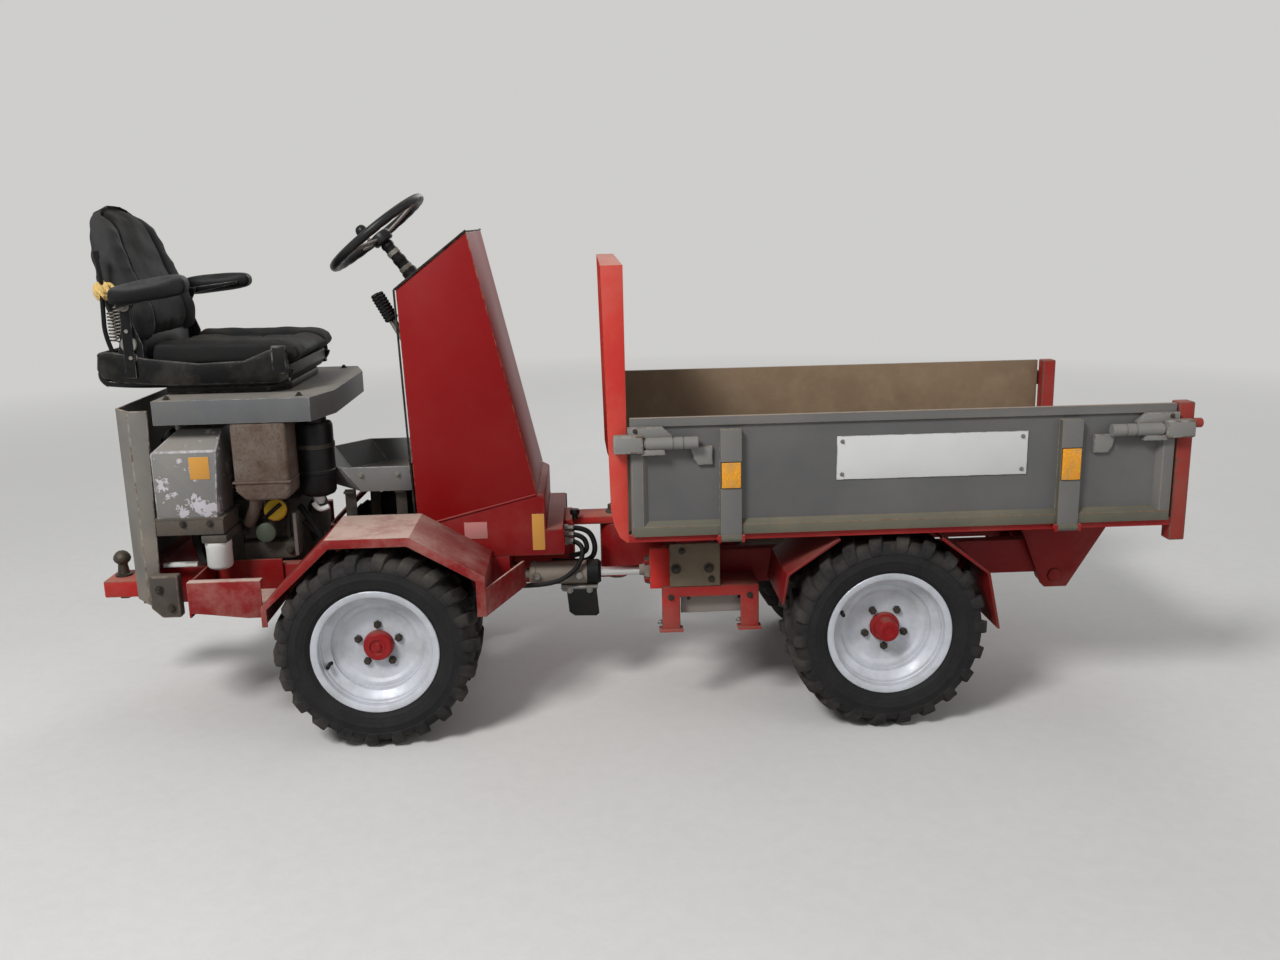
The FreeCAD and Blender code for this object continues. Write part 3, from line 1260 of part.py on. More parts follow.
def headboard():
    """Tall folded panel at the bed's rear: skin towards the load, flanges towards the driver."""
    body = new_body("headboard")
    side = (("head_rear_low", "bed_rail_low"), ("head_front", "bed_rail_low"),
            ("head_front", "head_top"), ("head_rear_top", "head_top"))
    pad(body, "panel", "XZ_Plane", side, "2 * bed_half", midplane=True)
    fold = (("head_rear_top - head_open", "bed_rail_high"),
            ("head_front - head_skin", "bed_rail_high"),
            ("head_front - head_skin", "head_top - head_skin"),
            ("head_rear_top - head_open", "head_top - head_skin"))
    pocket(body, "fold", "XZ_Plane", fold, "2 * bed_half - 2 * head_skin", midplane=True)
    return body


headboard()

# Posts at the load end with the beam that joins their feet.
fuse("corner_posts", [
    *(box("post_" + mark, ("post_rear", low, "post_low"), ("post_front", high, "post_high"))
      for mark, low, high in (("right", "-bed_half", "-bed_half + post_depth"),
                              ("left", "bed_half - post_depth", "bed_half"))),
    box("front_beam", ("post_rear", "-bed_half", "bed_rail_low"),
        ("post_front", "bed_half", "bed_floor_top")),
])


def across(sign, inner, outer):
    """Low and high Y of a slab between two distances from the middle plane."""
    return (f"-({outer})", f"-({inner})") if sign else (inner, outer)


# Drop sides: framed sheet on strap hinges.
# Columns: name, low x, high x, distances from the middle plane, low z, high z
SIDE_START = "head_front + side_gap"
SIDE_END = "post_rear - side_gap"
SIDE_SLABS = (
    ("skin", SIDE_START, SIDE_END, "side_skin_in", "side_skin_in + side_skin", "side_rail_low", "side_top"),
    ("sill", SIDE_START, SIDE_END, "side_skin_in", "side_edge_out", "side_rail_low", "side_low"),
    ("crest", SIDE_START, SIDE_END, "side_skin_in", "side_edge_out", "side_top - crest_height", "side_top"),
    ("back_edge", SIDE_START, SIDE_START + " + side_edge", "side_skin_in", "side_edge_out",
     "side_rail_low", "side_top"),
    ("fore_edge", SIDE_END + " - side_edge", SIDE_END, "side_skin_in", "side_edge_out",
     "side_rail_low", "side_top"),
)


def side_board(name, sign):
    pieces = []
    for mark, low_x, high_x, inner, outer, low_z, high_z in SIDE_SLABS:
        low_y, high_y = across(sign, inner, outer)
        pieces.append(box(f"{mark}_{name}", (low_x, low_y, low_z), (high_x, high_y, high_z)))
    holes = []
    for strap in ("strap_rear_x", "strap_front_x"):
        end = strap + " + strap_width"
        low_y, high_y = across(sign, "side_skin_in + side_skin", "strap_out")
        pieces.append(box(f"{strap}_{name}", (strap, low_y, "side_rail_low"), (end, high_y, "strap_top")))
        low_y, high_y = across(sign, "side_hinge_y - knuckle_radius", "strap_out")
        pieces.append(box(f"{strap}_{name}_tail", (strap, low_y, "side_hinge_z"),
                          (end, high_y, "side_rail_low")))
        axis_y = sign + "side_hinge_y"
        pieces.append(rod(f"{strap}_{name}_knuckle", "knuckle_radius", (strap, axis_y, "side_hinge_z"),
                          "x", "strap_width"))
        holes.append(rod(f"{strap}_{name}_hole", "hinge_pin_radius + fit_gap",
                         (strap + " - lug_steel", axis_y, "side_hinge_z"), "x",
                         "strap_width + 2 * lug_steel"))
    solid = doc.addObject("Part::MultiFuse", "side_solid_" + name)
    solid.Shapes = pieces
    solid.Refine = True
    bores = doc.addObject("Part::MultiFuse", "side_bores_" + name)
    bores.Shapes = holes
    return keep(cut("side_board_" + name, solid, bores), "side_board_" + name)


def latches(name, sign):
    """Wing handles at both ends of a drop side, lying along its face."""
    body = new_body("latches_" + name)
    for mark, tip, heel, inward in (("rear", "latch_rear", "latch_rear_end", "+"),
                                    ("front", "latch_front_end", "latch_front", "-")):
        wing = (
            (tip, f"{sign}(side_edge_out + latch_heel - latch_tip)"),
            (f"{tip} {inward} latch_wing", f"{sign}side_edge_out"),
            (heel, f"{sign}side_edge_out"),
            (heel, f"{sign}(side_edge_out + latch_heel)"),
            (f"{tip} {inward} latch_wing", f"{sign}latch_out"),
            (tip, f"{sign}(latch_out - latch_tip)"),
        )
        pad(body, mark, "XY_Plane", wing, "latch_height", start="latch_z")
    return body


for name, sign in (("right", "-"), ("left", "")):
    side_board(name, sign)
    latches(name, sign)

doc.recompute()
broken = [item.Name for item in doc.Objects if {"Invalid", "Error"} & set(item.State)]
assert not broken, "objects that failed: " + ", ".join(broken)
for node in nodes:
    assert not node.Shape.isNull() and node.Shape.isValid(), "bad shape: " + node.Label

os.makedirs("parts", exist_ok=True)
for node in nodes:
    node.Shape.exportStep(f"parts/{node.Label}.step")
    print(f"{node.Label}: {len(node.Shape.Solids)} solids, {node.Shape.Volume / 1e6:.2f} litres")
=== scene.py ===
import json
import math

import bmesh
import bpy
from mathutils import Matrix, Vector


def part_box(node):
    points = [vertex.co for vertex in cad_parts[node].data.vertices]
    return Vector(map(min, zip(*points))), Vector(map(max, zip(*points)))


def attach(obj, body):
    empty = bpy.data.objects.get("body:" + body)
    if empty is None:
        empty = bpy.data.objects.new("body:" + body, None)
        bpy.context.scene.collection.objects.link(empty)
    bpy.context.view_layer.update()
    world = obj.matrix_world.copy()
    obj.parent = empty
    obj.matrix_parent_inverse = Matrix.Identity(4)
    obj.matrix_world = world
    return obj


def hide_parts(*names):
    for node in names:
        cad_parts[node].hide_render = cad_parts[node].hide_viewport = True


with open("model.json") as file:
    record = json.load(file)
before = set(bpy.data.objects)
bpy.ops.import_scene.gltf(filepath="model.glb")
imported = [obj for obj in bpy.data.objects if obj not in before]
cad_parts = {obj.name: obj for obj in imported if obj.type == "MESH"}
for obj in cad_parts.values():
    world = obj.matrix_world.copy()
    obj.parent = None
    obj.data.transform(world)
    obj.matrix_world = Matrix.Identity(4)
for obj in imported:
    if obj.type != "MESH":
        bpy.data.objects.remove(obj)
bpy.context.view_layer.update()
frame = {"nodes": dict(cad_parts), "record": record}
record = frame["record"]

# Camera: the photograph was taken by hand from the machine's right side, at eye height, a little
# over three metres away. Its place, tilt and lens were fitted to the machine's straight edges.
EYE = Vector((-0.0665, -3.3218, 1.3611))
TURN, LOOK_DOWN, ROLL = (math.radians(angle) for angle in (-2.43, 12.85, -1.23))
FOCAL_SHARE = 1148.7 / 1280

camera_data = bpy.data.cameras.new("eye_height_camera")
camera_data.lens = FOCAL_SHARE * camera_data.sensor_width
camera = bpy.data.objects.new("eye_height_camera", camera_data)
bpy.context.scene.collection.objects.link(camera)
upright = Matrix.Rotation(TURN, 4, "Z") @ Matrix.Rotation(math.pi / 2 - LOOK_DOWN, 4, "X")
camera.matrix_world = Matrix.Translation(EYE) @ upright @ Matrix.Rotation(ROLL, 4, "Z")
bpy.context.scene.camera = camera
bpy.context.scene.view_settings.view_transform = "Standard"


# Studio: a plain pale floor, one broad lamp high on the camera's left, a weak one from the right
# and an even sky, so that paint shows about the colour it has.
class Socket:
    """An output inside a material. Plain arithmetic on it adds the Math nodes it stands for."""

    def __init__(self, tree, output):
        self.tree, self.output = tree, output

    def maths(self, operation, *values):
        sockets = dict(zip(("Value", "Value_001", "Value_002"), values))
        return node(self.tree, "ShaderNodeMath", {"operation": operation}, sockets)

    def __add__(self, other):
        return self.maths("ADD", self, other)

    def __sub__(self, other):
        return self.maths("SUBTRACT", self, other)

    def __rsub__(self, other):
        return self.maths("SUBTRACT", other, self)

    def __mul__(self, other):
        return self.maths("MULTIPLY", self, other)

    def __truediv__(self, other):
        return self.maths("DIVIDE", self, other)

    def __pow__(self, other):
        return self.maths("POWER", self, other)

    __radd__, __rmul__ = __add__, __mul__

    def held(self):
        """The value kept between 0 and 1."""
        return self.maths("MINIMUM", self.maths("MAXIMUM", self, 0.0), 1.0)

    def over(self, level, blur):
        """A mask that rises from 0 to 1 as the value passes a level, over a blur."""
        return ((self - (level - blur / 2)) / blur).held()

    def most(self, other):
        return self.maths("MAXIMUM", self, other)

    def axis(self, letter):
        return node(self.tree, "ShaderNodeSeparateXYZ", {}, {"Vector": self}, letter)


def node(tree, kind, settings=(), sockets=(), output=0):
    """Adds a node: its settings first, then the values or links of its sockets."""
    made = tree.nodes.new(kind)
    for name, value in dict(settings).items():
        if name == "stops":
            for stop, (spot, colour) in zip(made.color_ramp.elements, value):
                stop.position, stop.color = spot, (*colour, 1)
        else:
            setattr(made, name, value)
    for name, value in dict(sockets).items():
        target = next((each for each in made.inputs if each.identifier == name), None)
        target = target or made.inputs[name]
        if isinstance(value, Socket):
            tree.links.new(value.output, target)
        else:
            target.default_value = value
    return Socket(tree, made.outputs[output])


class Finish:
    """One procedural finish. Patterns lie in the piece's own coordinates, in metres."""

    def __init__(self, name, slot=None):
        self.material = bpy.data.materials.new(name)
        self.material.use_nodes = True
        self.tree = self.material.node_tree
        self.shader = self.tree.nodes["Principled BSDF"]
        self.place = self.node("ShaderNodeTexCoord", output="Object")
        self.facing = self.node("ShaderNodeTexCoord", output="Normal")
        self.slot = slot

    def node(self, kind, settings=(), sockets=(), output=0):
        return node(self.tree, kind, settings, sockets, output)

    def stretched(self, scale):
        return self.node("ShaderNodeMapping", {}, {"Vector": self.place, "Scale": scale})

    def noise(self, scale, detail=4.0, rough=0.6, place=None, warp=0.0):
        sockets = {"Vector": place or self.place, "Scale": scale, "Detail": detail,
                   "Roughness": rough, "Distortion": warp}
        return self.node("ShaderNodeTexNoise", {}, sockets, "Fac")

    def cells(self, scale, place=None, feature="F1", output="Distance"):
        sockets = {"Vector": place or self.place, "Scale": scale}
        return self.node("ShaderNodeTexVoronoi", {"feature": feature}, sockets, output)

    def attribute(self, name):
        return self.node("ShaderNodeAttribute", {"attribute_name": name}, {}, "Fac")

    def mix(self, first, second, factor):
        sockets = {"Factor_Float": factor}
        for socket, colour in (("A_Color", first), ("B_Color", second)):
            sockets[socket] = colour if isinstance(colour, Socket) else (*colour, 1)
        return self.node("ShaderNodeMix", {"data_type": "RGBA"}, sockets, 2)

    def bump(self, height, depth, strength=1.0, over=None):
        sockets = {"Height": height, "Distance": depth, "Strength": strength}
        if over is not None:
            sockets["Normal"] = over
        return self.node("ShaderNodeBump", {}, sockets)

    def set(self, **inputs):
        for name, value in inputs.items():
            target = self.shader.inputs[name.replace("_", " ")]
            if isinstance(value, Socket):
                self.tree.links.new(value.output, target)
            elif target.type == "RGBA":
                target.default_value = (*value, 1)
            else:
                target.default_value = value
        return self


def link(name, mesh):
    made = bpy.data.objects.new(name, mesh)
    bpy.context.scene.collection.objects.link(made)
    return made


BACKDROP = (0.62, 0.615, 0.60)


def backdrop_rays(tree):
    """1 for the rays that show the backdrop: from the camera, off gloss and through glass."""
    kinds = [node(tree, "ShaderNodeLightPath", output=kind)
             for kind in ("Is Camera Ray", "Is Glossy Ray", "Is Transmission Ray")]
    return kinds[0].most(kinds[1]).most(kinds[2])


def floor_finish():
    """Pale cast floor that fades into the backdrop's even tone, so that no horizon shows."""
    paint = Finish("pale_floor")
    shade = paint.noise(1.3, 6.0) * 0.5 + paint.noise(23.0, 3.0) * 0.5
    colour = paint.mix((0.53, 0.52, 0.50), (0.65, 0.64, 0.62), shade)
    paint.set(Base_Color=colour, Roughness=0.9, Normal=paint.bump(paint.noise(60.0, 5.0), 0.002, 0.3))
    away = paint.node("ShaderNodeVectorMath", {"operation": "LENGTH"}, {"Vector": paint.place}, "Value")
    seen = backdrop_rays(paint.tree)
    even = paint.node("ShaderNodeEmission", {}, {"Color": (*BACKDROP, 1)})
    blend = paint.node("ShaderNodeMixShader", {}, {"Fac": away.over(5.2, 6.4) * seen, "Shader_001": even})
    paint.tree.links.new(paint.shader.outputs[0], blend.output.node.inputs[1])
    paint.tree.links.new(blend.output, paint.tree.nodes["Material Output"].inputs["Surface"])
    return paint.material


FLOOR_REACH = 30.0
floor_mesh = bpy.data.meshes.new("studio_floor")
floor_mesh.from_pydata([(x * FLOOR_REACH, y * FLOOR_REACH, 0) for x, y in
                        ((-1, -1), (1, -1), (1, 1), (-1, 1))], [], [(0, 1, 2, 3)])
floor_mesh.materials.append(floor_finish())
link("studio_floor", floor_mesh)

# Columns: name, place, looks at, size across, watts
LAMPS = (
    ("key_lamp", (-3.0, -4.4, 5.4), (0, 0, 0.5), 1.7, 430),
    ("fill_lamp", (4.8, -3.6, 2.6), (0, 0, 0.5), 3.5, 50),
    ("rim_lamp", (1.5, 5.0, 4.0), (0, 0, 0.6), 3.0, 110),
)
for name, spot, target, across, watts in LAMPS:
    lamp_data = bpy.data.lights.new(name, "AREA")
    lamp_data.size, lamp_data.energy = across, watts
    lamp = bpy.data.objects.new(name, lamp_data)
    bpy.context.scene.collection.objects.link(lamp)
    aim = (Vector(target) - Vector(spot)).to_track_quat("-Z", "Y")
    lamp.matrix_world = Matrix.Translation(spot) @ aim.to_matrix().to_4x4()
sky = bpy.data.worlds.new("even_sky")
sky.use_nodes = True
glow = sky.node_tree.nodes["Background"]
glow.inputs["Color"].default_value, glow.inputs["Strength"].default_value = (0.88, 0.91, 0.95, 1), 0.38
behind = node(sky.node_tree, "ShaderNodeBackground", {}, {"Color": (*BACKDROP, 1)})
choice = node(sky.node_tree, "ShaderNodeMixShader", {}, {"Fac": backdrop_rays(sky.node_tree),
                                                         "Shader_001": behind})
sky.node_tree.links.new(glow.outputs[0], choice.output.node.inputs[1])
sky.node_tree.links.new(choice.output, sky.node_tree.nodes["World Output"].inputs["Surface"])
bpy.context.scene.world = sky


# Tyres: bias-ply lug tyres for twelve-inch rims. A spun carcass with moulded rings on its wall
# carries two rows of slanted lugs, staggered by half a step, that run down over the shoulder.
def tone(red, green, blue):
    """A colour as it is read off a painted surface, 0 to 255, made linear."""
    return tuple(((value / 255 + 0.055) / 1.055) ** 2.4 for value in (red, green, blue))


def mesh_of(name, points, faces, smooth=False):
    mesh = bpy.data.meshes.new(name)
    mesh.from_pydata([tuple(point) for point in points], [], faces)
    work = bmesh.new()
    work.from_mesh(mesh)
    bmesh.ops.remove_doubles(work, verts=work.verts, dist=1e-6)
    bmesh.ops.recalc_face_normals(work, faces=work.faces)
    work.to_mesh(mesh)
    work.free()
    mesh.polygons.foreach_set("use_smooth", [smooth] * len(mesh.polygons))
    return mesh


def spun(name, outline, steps, centre, closed=True):
    """Turns an outline of (distance outwards along Y, radius) about a wheel's axle."""
    count = len(outline)
    points = []
    for step in range(steps):
        turn = 2 * math.pi * step / steps
        for across, radius in outline:
            points.append(centre + Vector((radius * math.sin(turn), across, radius * math.cos(turn))))
    faces = []
    for step in range(steps):
        follower = (step + 1) % steps
        for index in range(count if closed else count - 1):
            after = (index + 1) % count
            faces.append((step * count + index, step * count + after, follower * count + after,
                          follower * count + index))
    mesh = mesh_of(name, points, faces, True)
    mesh.set_sharp_from_angle(angle=math.radians(38))
    return mesh


def plain_mesh(piece):
    """Bakes a piece's modifiers into its mesh and removes them."""
    graph = bpy.context.evaluated_depsgraph_get()
    baked = bpy.data.meshes.new_from_object(piece.evaluated_get(graph))
    piece.modifiers.clear()
    piece.data = baked
    return piece


def tree_node(tree, kind, settings=(), sockets=()):
    """Adds a geometry node and returns it, with its sockets set or linked."""
    made = tree.nodes.new(kind)
    for name, value in dict(settings).items():
        setattr(made, name, value)
    for name, value in dict(sockets).items():
        if isinstance(value, bpy.types.NodeSocket):
            tree.links.new(value, made.inputs[name])
        else:
            made.inputs[name].default_value = value
    return made


def ring_tree():
    """Copies a small part round a wheel's axle and joins the copies to the piece."""
    tree = bpy.data.node_groups.new("parts_round_an_axle", "GeometryNodeTree")
    sockets = tree.interface
    sockets.new_socket("Geometry", in_out="INPUT", socket_type="NodeSocketGeometry")
    sockets.new_socket("Part", in_out="INPUT", socket_type="NodeSocketObject")
    sockets.new_socket("Count", in_out="INPUT", socket_type="NodeSocketInt")
    sockets.new_socket("Phase", in_out="INPUT", socket_type="NodeSocketFloat")
    sockets.new_socket("Axle", in_out="INPUT", socket_type="NodeSocketVector")
    sockets.new_socket("Finish", in_out="INPUT", socket_type="NodeSocketMaterial")
    sockets.new_socket("Geometry", in_out="OUTPUT", socket_type="NodeSocketGeometry")
    given = tree.nodes.new("NodeGroupInput").outputs
    spots = tree_node(tree, "GeometryNodePoints", {}, {"Count": given["Count"],
                                                       "Position": given["Axle"]})
    index = tree_node(tree, "GeometryNodeInputIndex")
    share = tree_node(tree, "ShaderNodeMath", {"operation": "DIVIDE"},
                      {0: index.outputs[0], 1: given["Count"]})
    turn = tree_node(tree, "ShaderNodeMath", {"operation": "MULTIPLY_ADD"},
                     {0: share.outputs[0], 1: 2 * math.pi, 2: given["Phase"]})
    about = tree_node(tree, "ShaderNodeCombineXYZ", {}, {"Y": turn.outputs[0]})
    part = tree_node(tree, "GeometryNodeObjectInfo", {}, {"Object": given["Part"]})
    copies = tree_node(tree, "GeometryNodeInstanceOnPoints", {},
                       {"Points": spots.outputs[0], "Instance": part.outputs["Geometry"],
                        "Rotation": about.outputs[0]})
    real = tree_node(tree, "GeometryNodeRealizeInstances", {}, {"Geometry": copies.outputs[0]})
    coated = tree_node(tree, "GeometryNodeSetMaterial", {}, {"Geometry": real.outputs[0],
                                                             "Material": given["Finish"]})
    joined = tree.nodes.new("GeometryNodeJoinGeometry")
    tree.links.new(given["Geometry"], joined.inputs[0])
    tree.links.new(coated.outputs[0], joined.inputs[0])
    result = tree.nodes.new("NodeGroupOutput")
    tree.links.new(joined.outputs[0], result.inputs[0])
    return tree


RING = ring_tree()


def modify(piece, tree, **inputs):
    """Runs a geometry tree on a piece with its inputs set by identifier, then bakes it."""
    modifier = piece.modifiers.new(tree.name, "NODES")
    modifier.node_group = tree
    for item in tree.interface.items_tree:
        if item.item_type == "SOCKET" and item.in_out == "INPUT" and item.name in inputs:
            modifier[item.identifier] = inputs[item.name]
    return plain_mesh(piece)


def rubber_finish():
    paint = Finish("dusty_tyre_rubber", "tyre_rubber")
    caked = paint.noise(14.0, 8.0, 0.65).over(0.52, 0.3)
    fine = paint.noise(90.0, 6.0, 0.7)
    worn = paint.attribute("tread")
    dust = (worn * (caked * 0.42 + 0.04) + caked * 0.07).held()
    rubber = paint.mix(tone(22, 22, 24), tone(38, 37, 38), fine)
    colour = paint.mix(rubber, tone(104, 97, 88), dust * (fine * 0.65 + 0.35))
    return paint.set(Base_Color=colour, Roughness=0.72 + dust * 0.22, Specular_IOR_Level=0.14,
                     Normal=paint.bump(fine + caked * 0.6, 0.0012, 0.55))


RUBBER = rubber_finish()
TREAD_RADIUS, LUG_RADIUS = 0.2545, 0.2672
BEAD_RADIUS = 0.1695
LUGS_EACH_SIDE = 22


def carcass_outline():
    """Half the tyre's wall, from the bead out to the tread, then its mirror image."""
    wall = [(0.100, 0.1545), (0.105, 0.1545), (0.1065, BEAD_RADIUS - 0.002), (0.111, BEAD_RADIUS + 0.002),
            (0.117, 0.1785), (0.119, 0.1805), (0.119, 0.1835), (0.1205, 0.186), (0.1228, 0.195),
            (0.1236, 0.2005), (0.1248, 0.2022), (0.1248, 0.2062), (0.1238, 0.2082), (0.1235, 0.214),
            (0.1222, 0.222), (0.1232, 0.2238), (0.1226, 0.2264), (0.1195, 0.2345), (0.1130, 0.2440),
            (0.1010, 0.2505), (0.070, 0.2538), (0.035, TREAD_RADIUS)]
    return wall + [(-across, radius) for across, radius in reversed(wall)]


def lug_mesh():
    """One lug on top of the wheel: stations from the tread's middle out over the shoulder."""
    # Columns: across, low radius, high radius, place round the wheel, half width low, high
    stations = (
        (0.006, 0.250, 0.2650, 0.0165, 0.0175, 0.0135),
        (0.030, 0.250, LUG_RADIUS, 0.0120, 0.0190, 0.0150),
        (0.070, 0.248, LUG_RADIUS, 0.0020, 0.0200, 0.0160),
        (0.098, 0.244, 0.2655, -0.0060, 0.0205, 0.0165),
        (0.1145, 0.236, 0.2575, -0.0100, 0.0200, 0.0160),
        (0.1235, 0.226, 0.2400, -0.0120, 0.0185, 0.0150),
        (0.1245, 0.216, 0.2240, -0.0125, 0.0150, 0.0120),
    )
    points = []
    for across, low, high, around, half_low, half_high in stations:
        inward = 0.0 if across < 0.11 else -0.012
        points += [(around - half_low, across + inward, low), (around - half_high, across, high),
                   (around + half_high, across, high), (around + half_low, across + inward, low)]
    faces = [(0, 1, 2, 3)]
    for row in range(len(stations) - 1):
        for corner in range(4):
            after = (corner + 1) % 4
            faces.append((row * 4 + corner, row * 4 + after, row * 4 + 4 + after, row * 4 + 4 + corner))
    last = len(points) - 4
    faces.append((last + 3, last + 2, last + 1, last))
    return mesh_of("lug", points, faces)


def hidden_part(name, mesh):
    """A pattern part that trees copy. It isn't part of the machine and doesn't show."""
    part = link(name, mesh)
    part.hide_render = True
    return part


def softened(piece, width, steps=2, angle=30):
    modifier = piece.modifiers.new("rounded_edges", "BEVEL")
    modifier.width, modifier.segments = width, steps
    modifier.limit_method, modifier.angle_limit = "ANGLE", math.radians(angle)
    return plain_mesh(piece)


lug_out = softened(hidden_part("lug_pattern", lug_mesh()), 0.0022)
lug_out.data.polygons.foreach_set("use_smooth", [True] * len(lug_out.data.polygons))
lug_out.data.set_sharp_from_angle(angle=math.radians(50))
lug_in = hidden_part("lug_pattern_inner", lug_out.data.copy())
lug_in.data.transform(Matrix.Scale(-1, 4, (0, 1, 0)))
lug_in.data.flip_normals()

# Columns: name, middle of the wheel, outward side
WHEELS = []
for name in ("rear_right", "rear_left", "front_right", "front_left"):
    low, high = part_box("tyre_" + name)
    WHEELS.append((name, (low + high) / 2, -1 if name.endswith("right") else 1))


def mark(piece, name, values):
    """Stores one number for each corner point of a piece, for its finish to read."""
    attribute = piece.data.attributes.new(name, "FLOAT", "POINT")
    attribute.data.foreach_set("value", values)


for name, centre, side in WHEELS:
    outline = [(across * side, radius) for across, radius in carcass_outline()]
    tyre = link("lug_tyre_" + name, spun("lug_tyre_" + name, outline, 96, centre))
    tyre.data.materials.append(RUBBER.material)
    pitch = 2 * math.pi / LUGS_EACH_SIDE
    for part, phase in ((lug_out, 0.0), (lug_in, pitch / 2)):
        modify(tyre, RING, Part=part, Count=LUGS_EACH_SIDE, Phase=phase, Axle=centre,
               Finish=RUBBER.material)
    radii = [math.hypot(point.co.x - centre.x, point.co.z - centre.z) for point in tyre.data.vertices]
    mark(tyre, "tread", [min(1.0, max(0.0, (radius - 0.222) / 0.03)) for radius in radii])
    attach(tyre, "wheel_" + name)
    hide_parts("tyre_" + name)


# Rims: welded steel, silver paint gone chalky. A drop-centre barrel with rolled lips, a dished disc
# five nuts hold, a rubber valve through the slope, and the red cap of the axle's reduction hub.
def silver_finish():
    paint = Finish("chalky_silver_paint", "rim_silver")
    grime = paint.noise(11.0, 6.0, 0.6).over(0.56, 0.3)
    fine = paint.noise(70.0, 5.0)
    colour = paint.mix(tone(176, 180, 188), tone(196, 198, 203), fine)
    colour = paint.mix(colour, tone(112, 106, 96), grime * 0.4)
    return paint.set(Base_Color=colour, Metallic=0.15, Roughness=0.36 + grime * 0.3 + fine * 0.08,
                     Normal=paint.bump(fine, 0.0006, 0.3))


def steel_finish(name, slot, dark, light, roughness=0.5, metallic=0.8, dirt=0.4):
    paint = Finish(name, slot)
    fine = paint.noise(120.0, 4.0)
    grime = paint.noise(17.0, 6.0, 0.65).over(0.5, 0.3)
    colour = paint.mix(dark, light, fine)
    colour = paint.mix(colour, tone(92, 78, 62), grime * dirt)
    return paint.set(Base_Color=colour, Metallic=metallic * (1 - grime * dirt),
                     Roughness=roughness + grime * 0.25,
                     Normal=paint.bump(fine + grime * 0.6, 0.0008, 0.4))


def worn_paint(name, slot, coat, faded, bare, dusty, dust=0.5, chips=0.05, gloss=0.42, low=0.0, film_share=0.10,
               level=0.86, shine=0.2):
    """Paint that fades in broad patches, wears at its edges and chips, with dust on level faces.
    Low is the height below which road dust builds up."""
    paint = Finish(name, slot)
    broad = paint.noise(2.6, 5.0, 0.55)
    grain = paint.noise(48.0, 6.0, 0.7)
    spots = paint.noise(21.0, 7.0, 0.75)
    film = paint.noise(7.0, 7.0, 0.68)
    film_near = film * 0.6 + grain * 0.4
    up = paint.facing.axis("Z")
    edge = paint.attribute("edge")
    chipped = spots.over(0.80 - chips, 0.03)
    worn = (edge * grain.over(0.52, 0.14)).most(chipped)
    rubbed = (edge * 0.55 + broad.over(0.56, 0.25) * 0.45).held()
    lying = up.over(level, 0.24) * (film_near.over(0.46, 0.3) * 0.65 + 0.35) * dust
    if low:
        near_ground = ((low - paint.place.axis("Z")) / low).held()
        lying = lying.most(near_ground * film.over(0.50, 0.25) * 0.9)
    veil = (lying + film.over(0.57, 0.22) * film_share).held()
    colour = paint.mix(coat, faded, rubbed)
    colour = paint.mix(colour, bare, worn)
    colour = paint.mix(colour, dusty, veil)
    height = paint.noise(160.0, 3.0) * 0.35 - chipped * 0.7 + veil * grain * 0.5
    return paint.set(Base_Color=colour, Roughness=gloss + veil * 0.4 + broad * 0.12,
                     Specular_IOR_Level=shine, Normal=paint.bump(height, 0.0008, 0.45))


SILVER = silver_finish()
DARK_STEEL = steel_finish("oily_dark_steel", "black_steel", tone(30, 29, 28), tone(62, 59, 55))
CAP_RED = worn_paint("hub_cap_red", "red_paint", tone(122, 10, 16), tone(158, 30, 34),
                     tone(60, 30, 28), tone(120, 96, 84), chips=0.16, gloss=0.34)
RIM_OUTLINE = (
    (0.1120, 0.1660), (0.1105, 0.1678), (0.1075, 0.1678), (0.1060, 0.1650), (0.1060, 0.1530),
    (0.0760, 0.1510), (0.0620, 0.1280), (-0.0300, 0.1280), (-0.0440, 0.1510), (-0.1060, 0.1530),
    (-0.1060, 0.1650), (-0.1075, 0.1678), (-0.1105, 0.1678), (-0.1120, 0.1660), (-0.1120, 0.1500),
    (-0.1080, 0.1480), (-0.0490, 0.1460), (-0.0350, 0.1230), (0.0640, 0.1230), (0.0670, 0.1238),
    (0.0790, 0.1420), (0.0825, 0.1448), (0.0910, 0.1454), (0.0935, 0.1478), (0.1040, 0.1484),
    (0.1085, 0.1502), (0.1118, 0.1560),
)
DISC_OUTLINE = (
    (0.0560, 0.1230), (0.0560, 0.1200), (0.0530, 0.1180), (0.0530, 0.1080), (0.0515, 0.1050),
    (0.0470, 0.0990), (0.0450, 0.0955), (0.0450, 0.0580), (0.0462, 0.0500), (0.0462, 0.0100),
    (0.0380, 0.0100), (0.0380, 0.0960), (0.0450, 0.1060), (0.0450, 0.1230),
)
BOLT_RADIUS = 0.056


def cap_outline(reach, rough_face):
    """The hub cap: a collar, then a red cup whose end is plain or has a sunk ring round a centre boss."""
    collar = [(0.045, 0.0), (0.045, 0.0395), (0.049, 0.0405), (0.054, 0.0400)]
    if rough_face:
        return collar + [(reach - 0.010, 0.0385), (reach - 0.004, 0.0365), (reach - 0.002, 0.0340),
                         (reach - 0.002, 0.0215), (reach - 0.006, 0.0195), (reach - 0.006, 0.0105),
                         (reach, 0.0085), (reach, 0.0)]
    return collar + [(0.060, 0.0380), (0.062, 0.0310), (reach - 0.008, 0.0300), (reach - 0.002, 0.0275),
                     (reach, 0.0235), (reach, 0.0150), (reach - 0.002, 0.0135), (reach - 0.002, 0.0)]


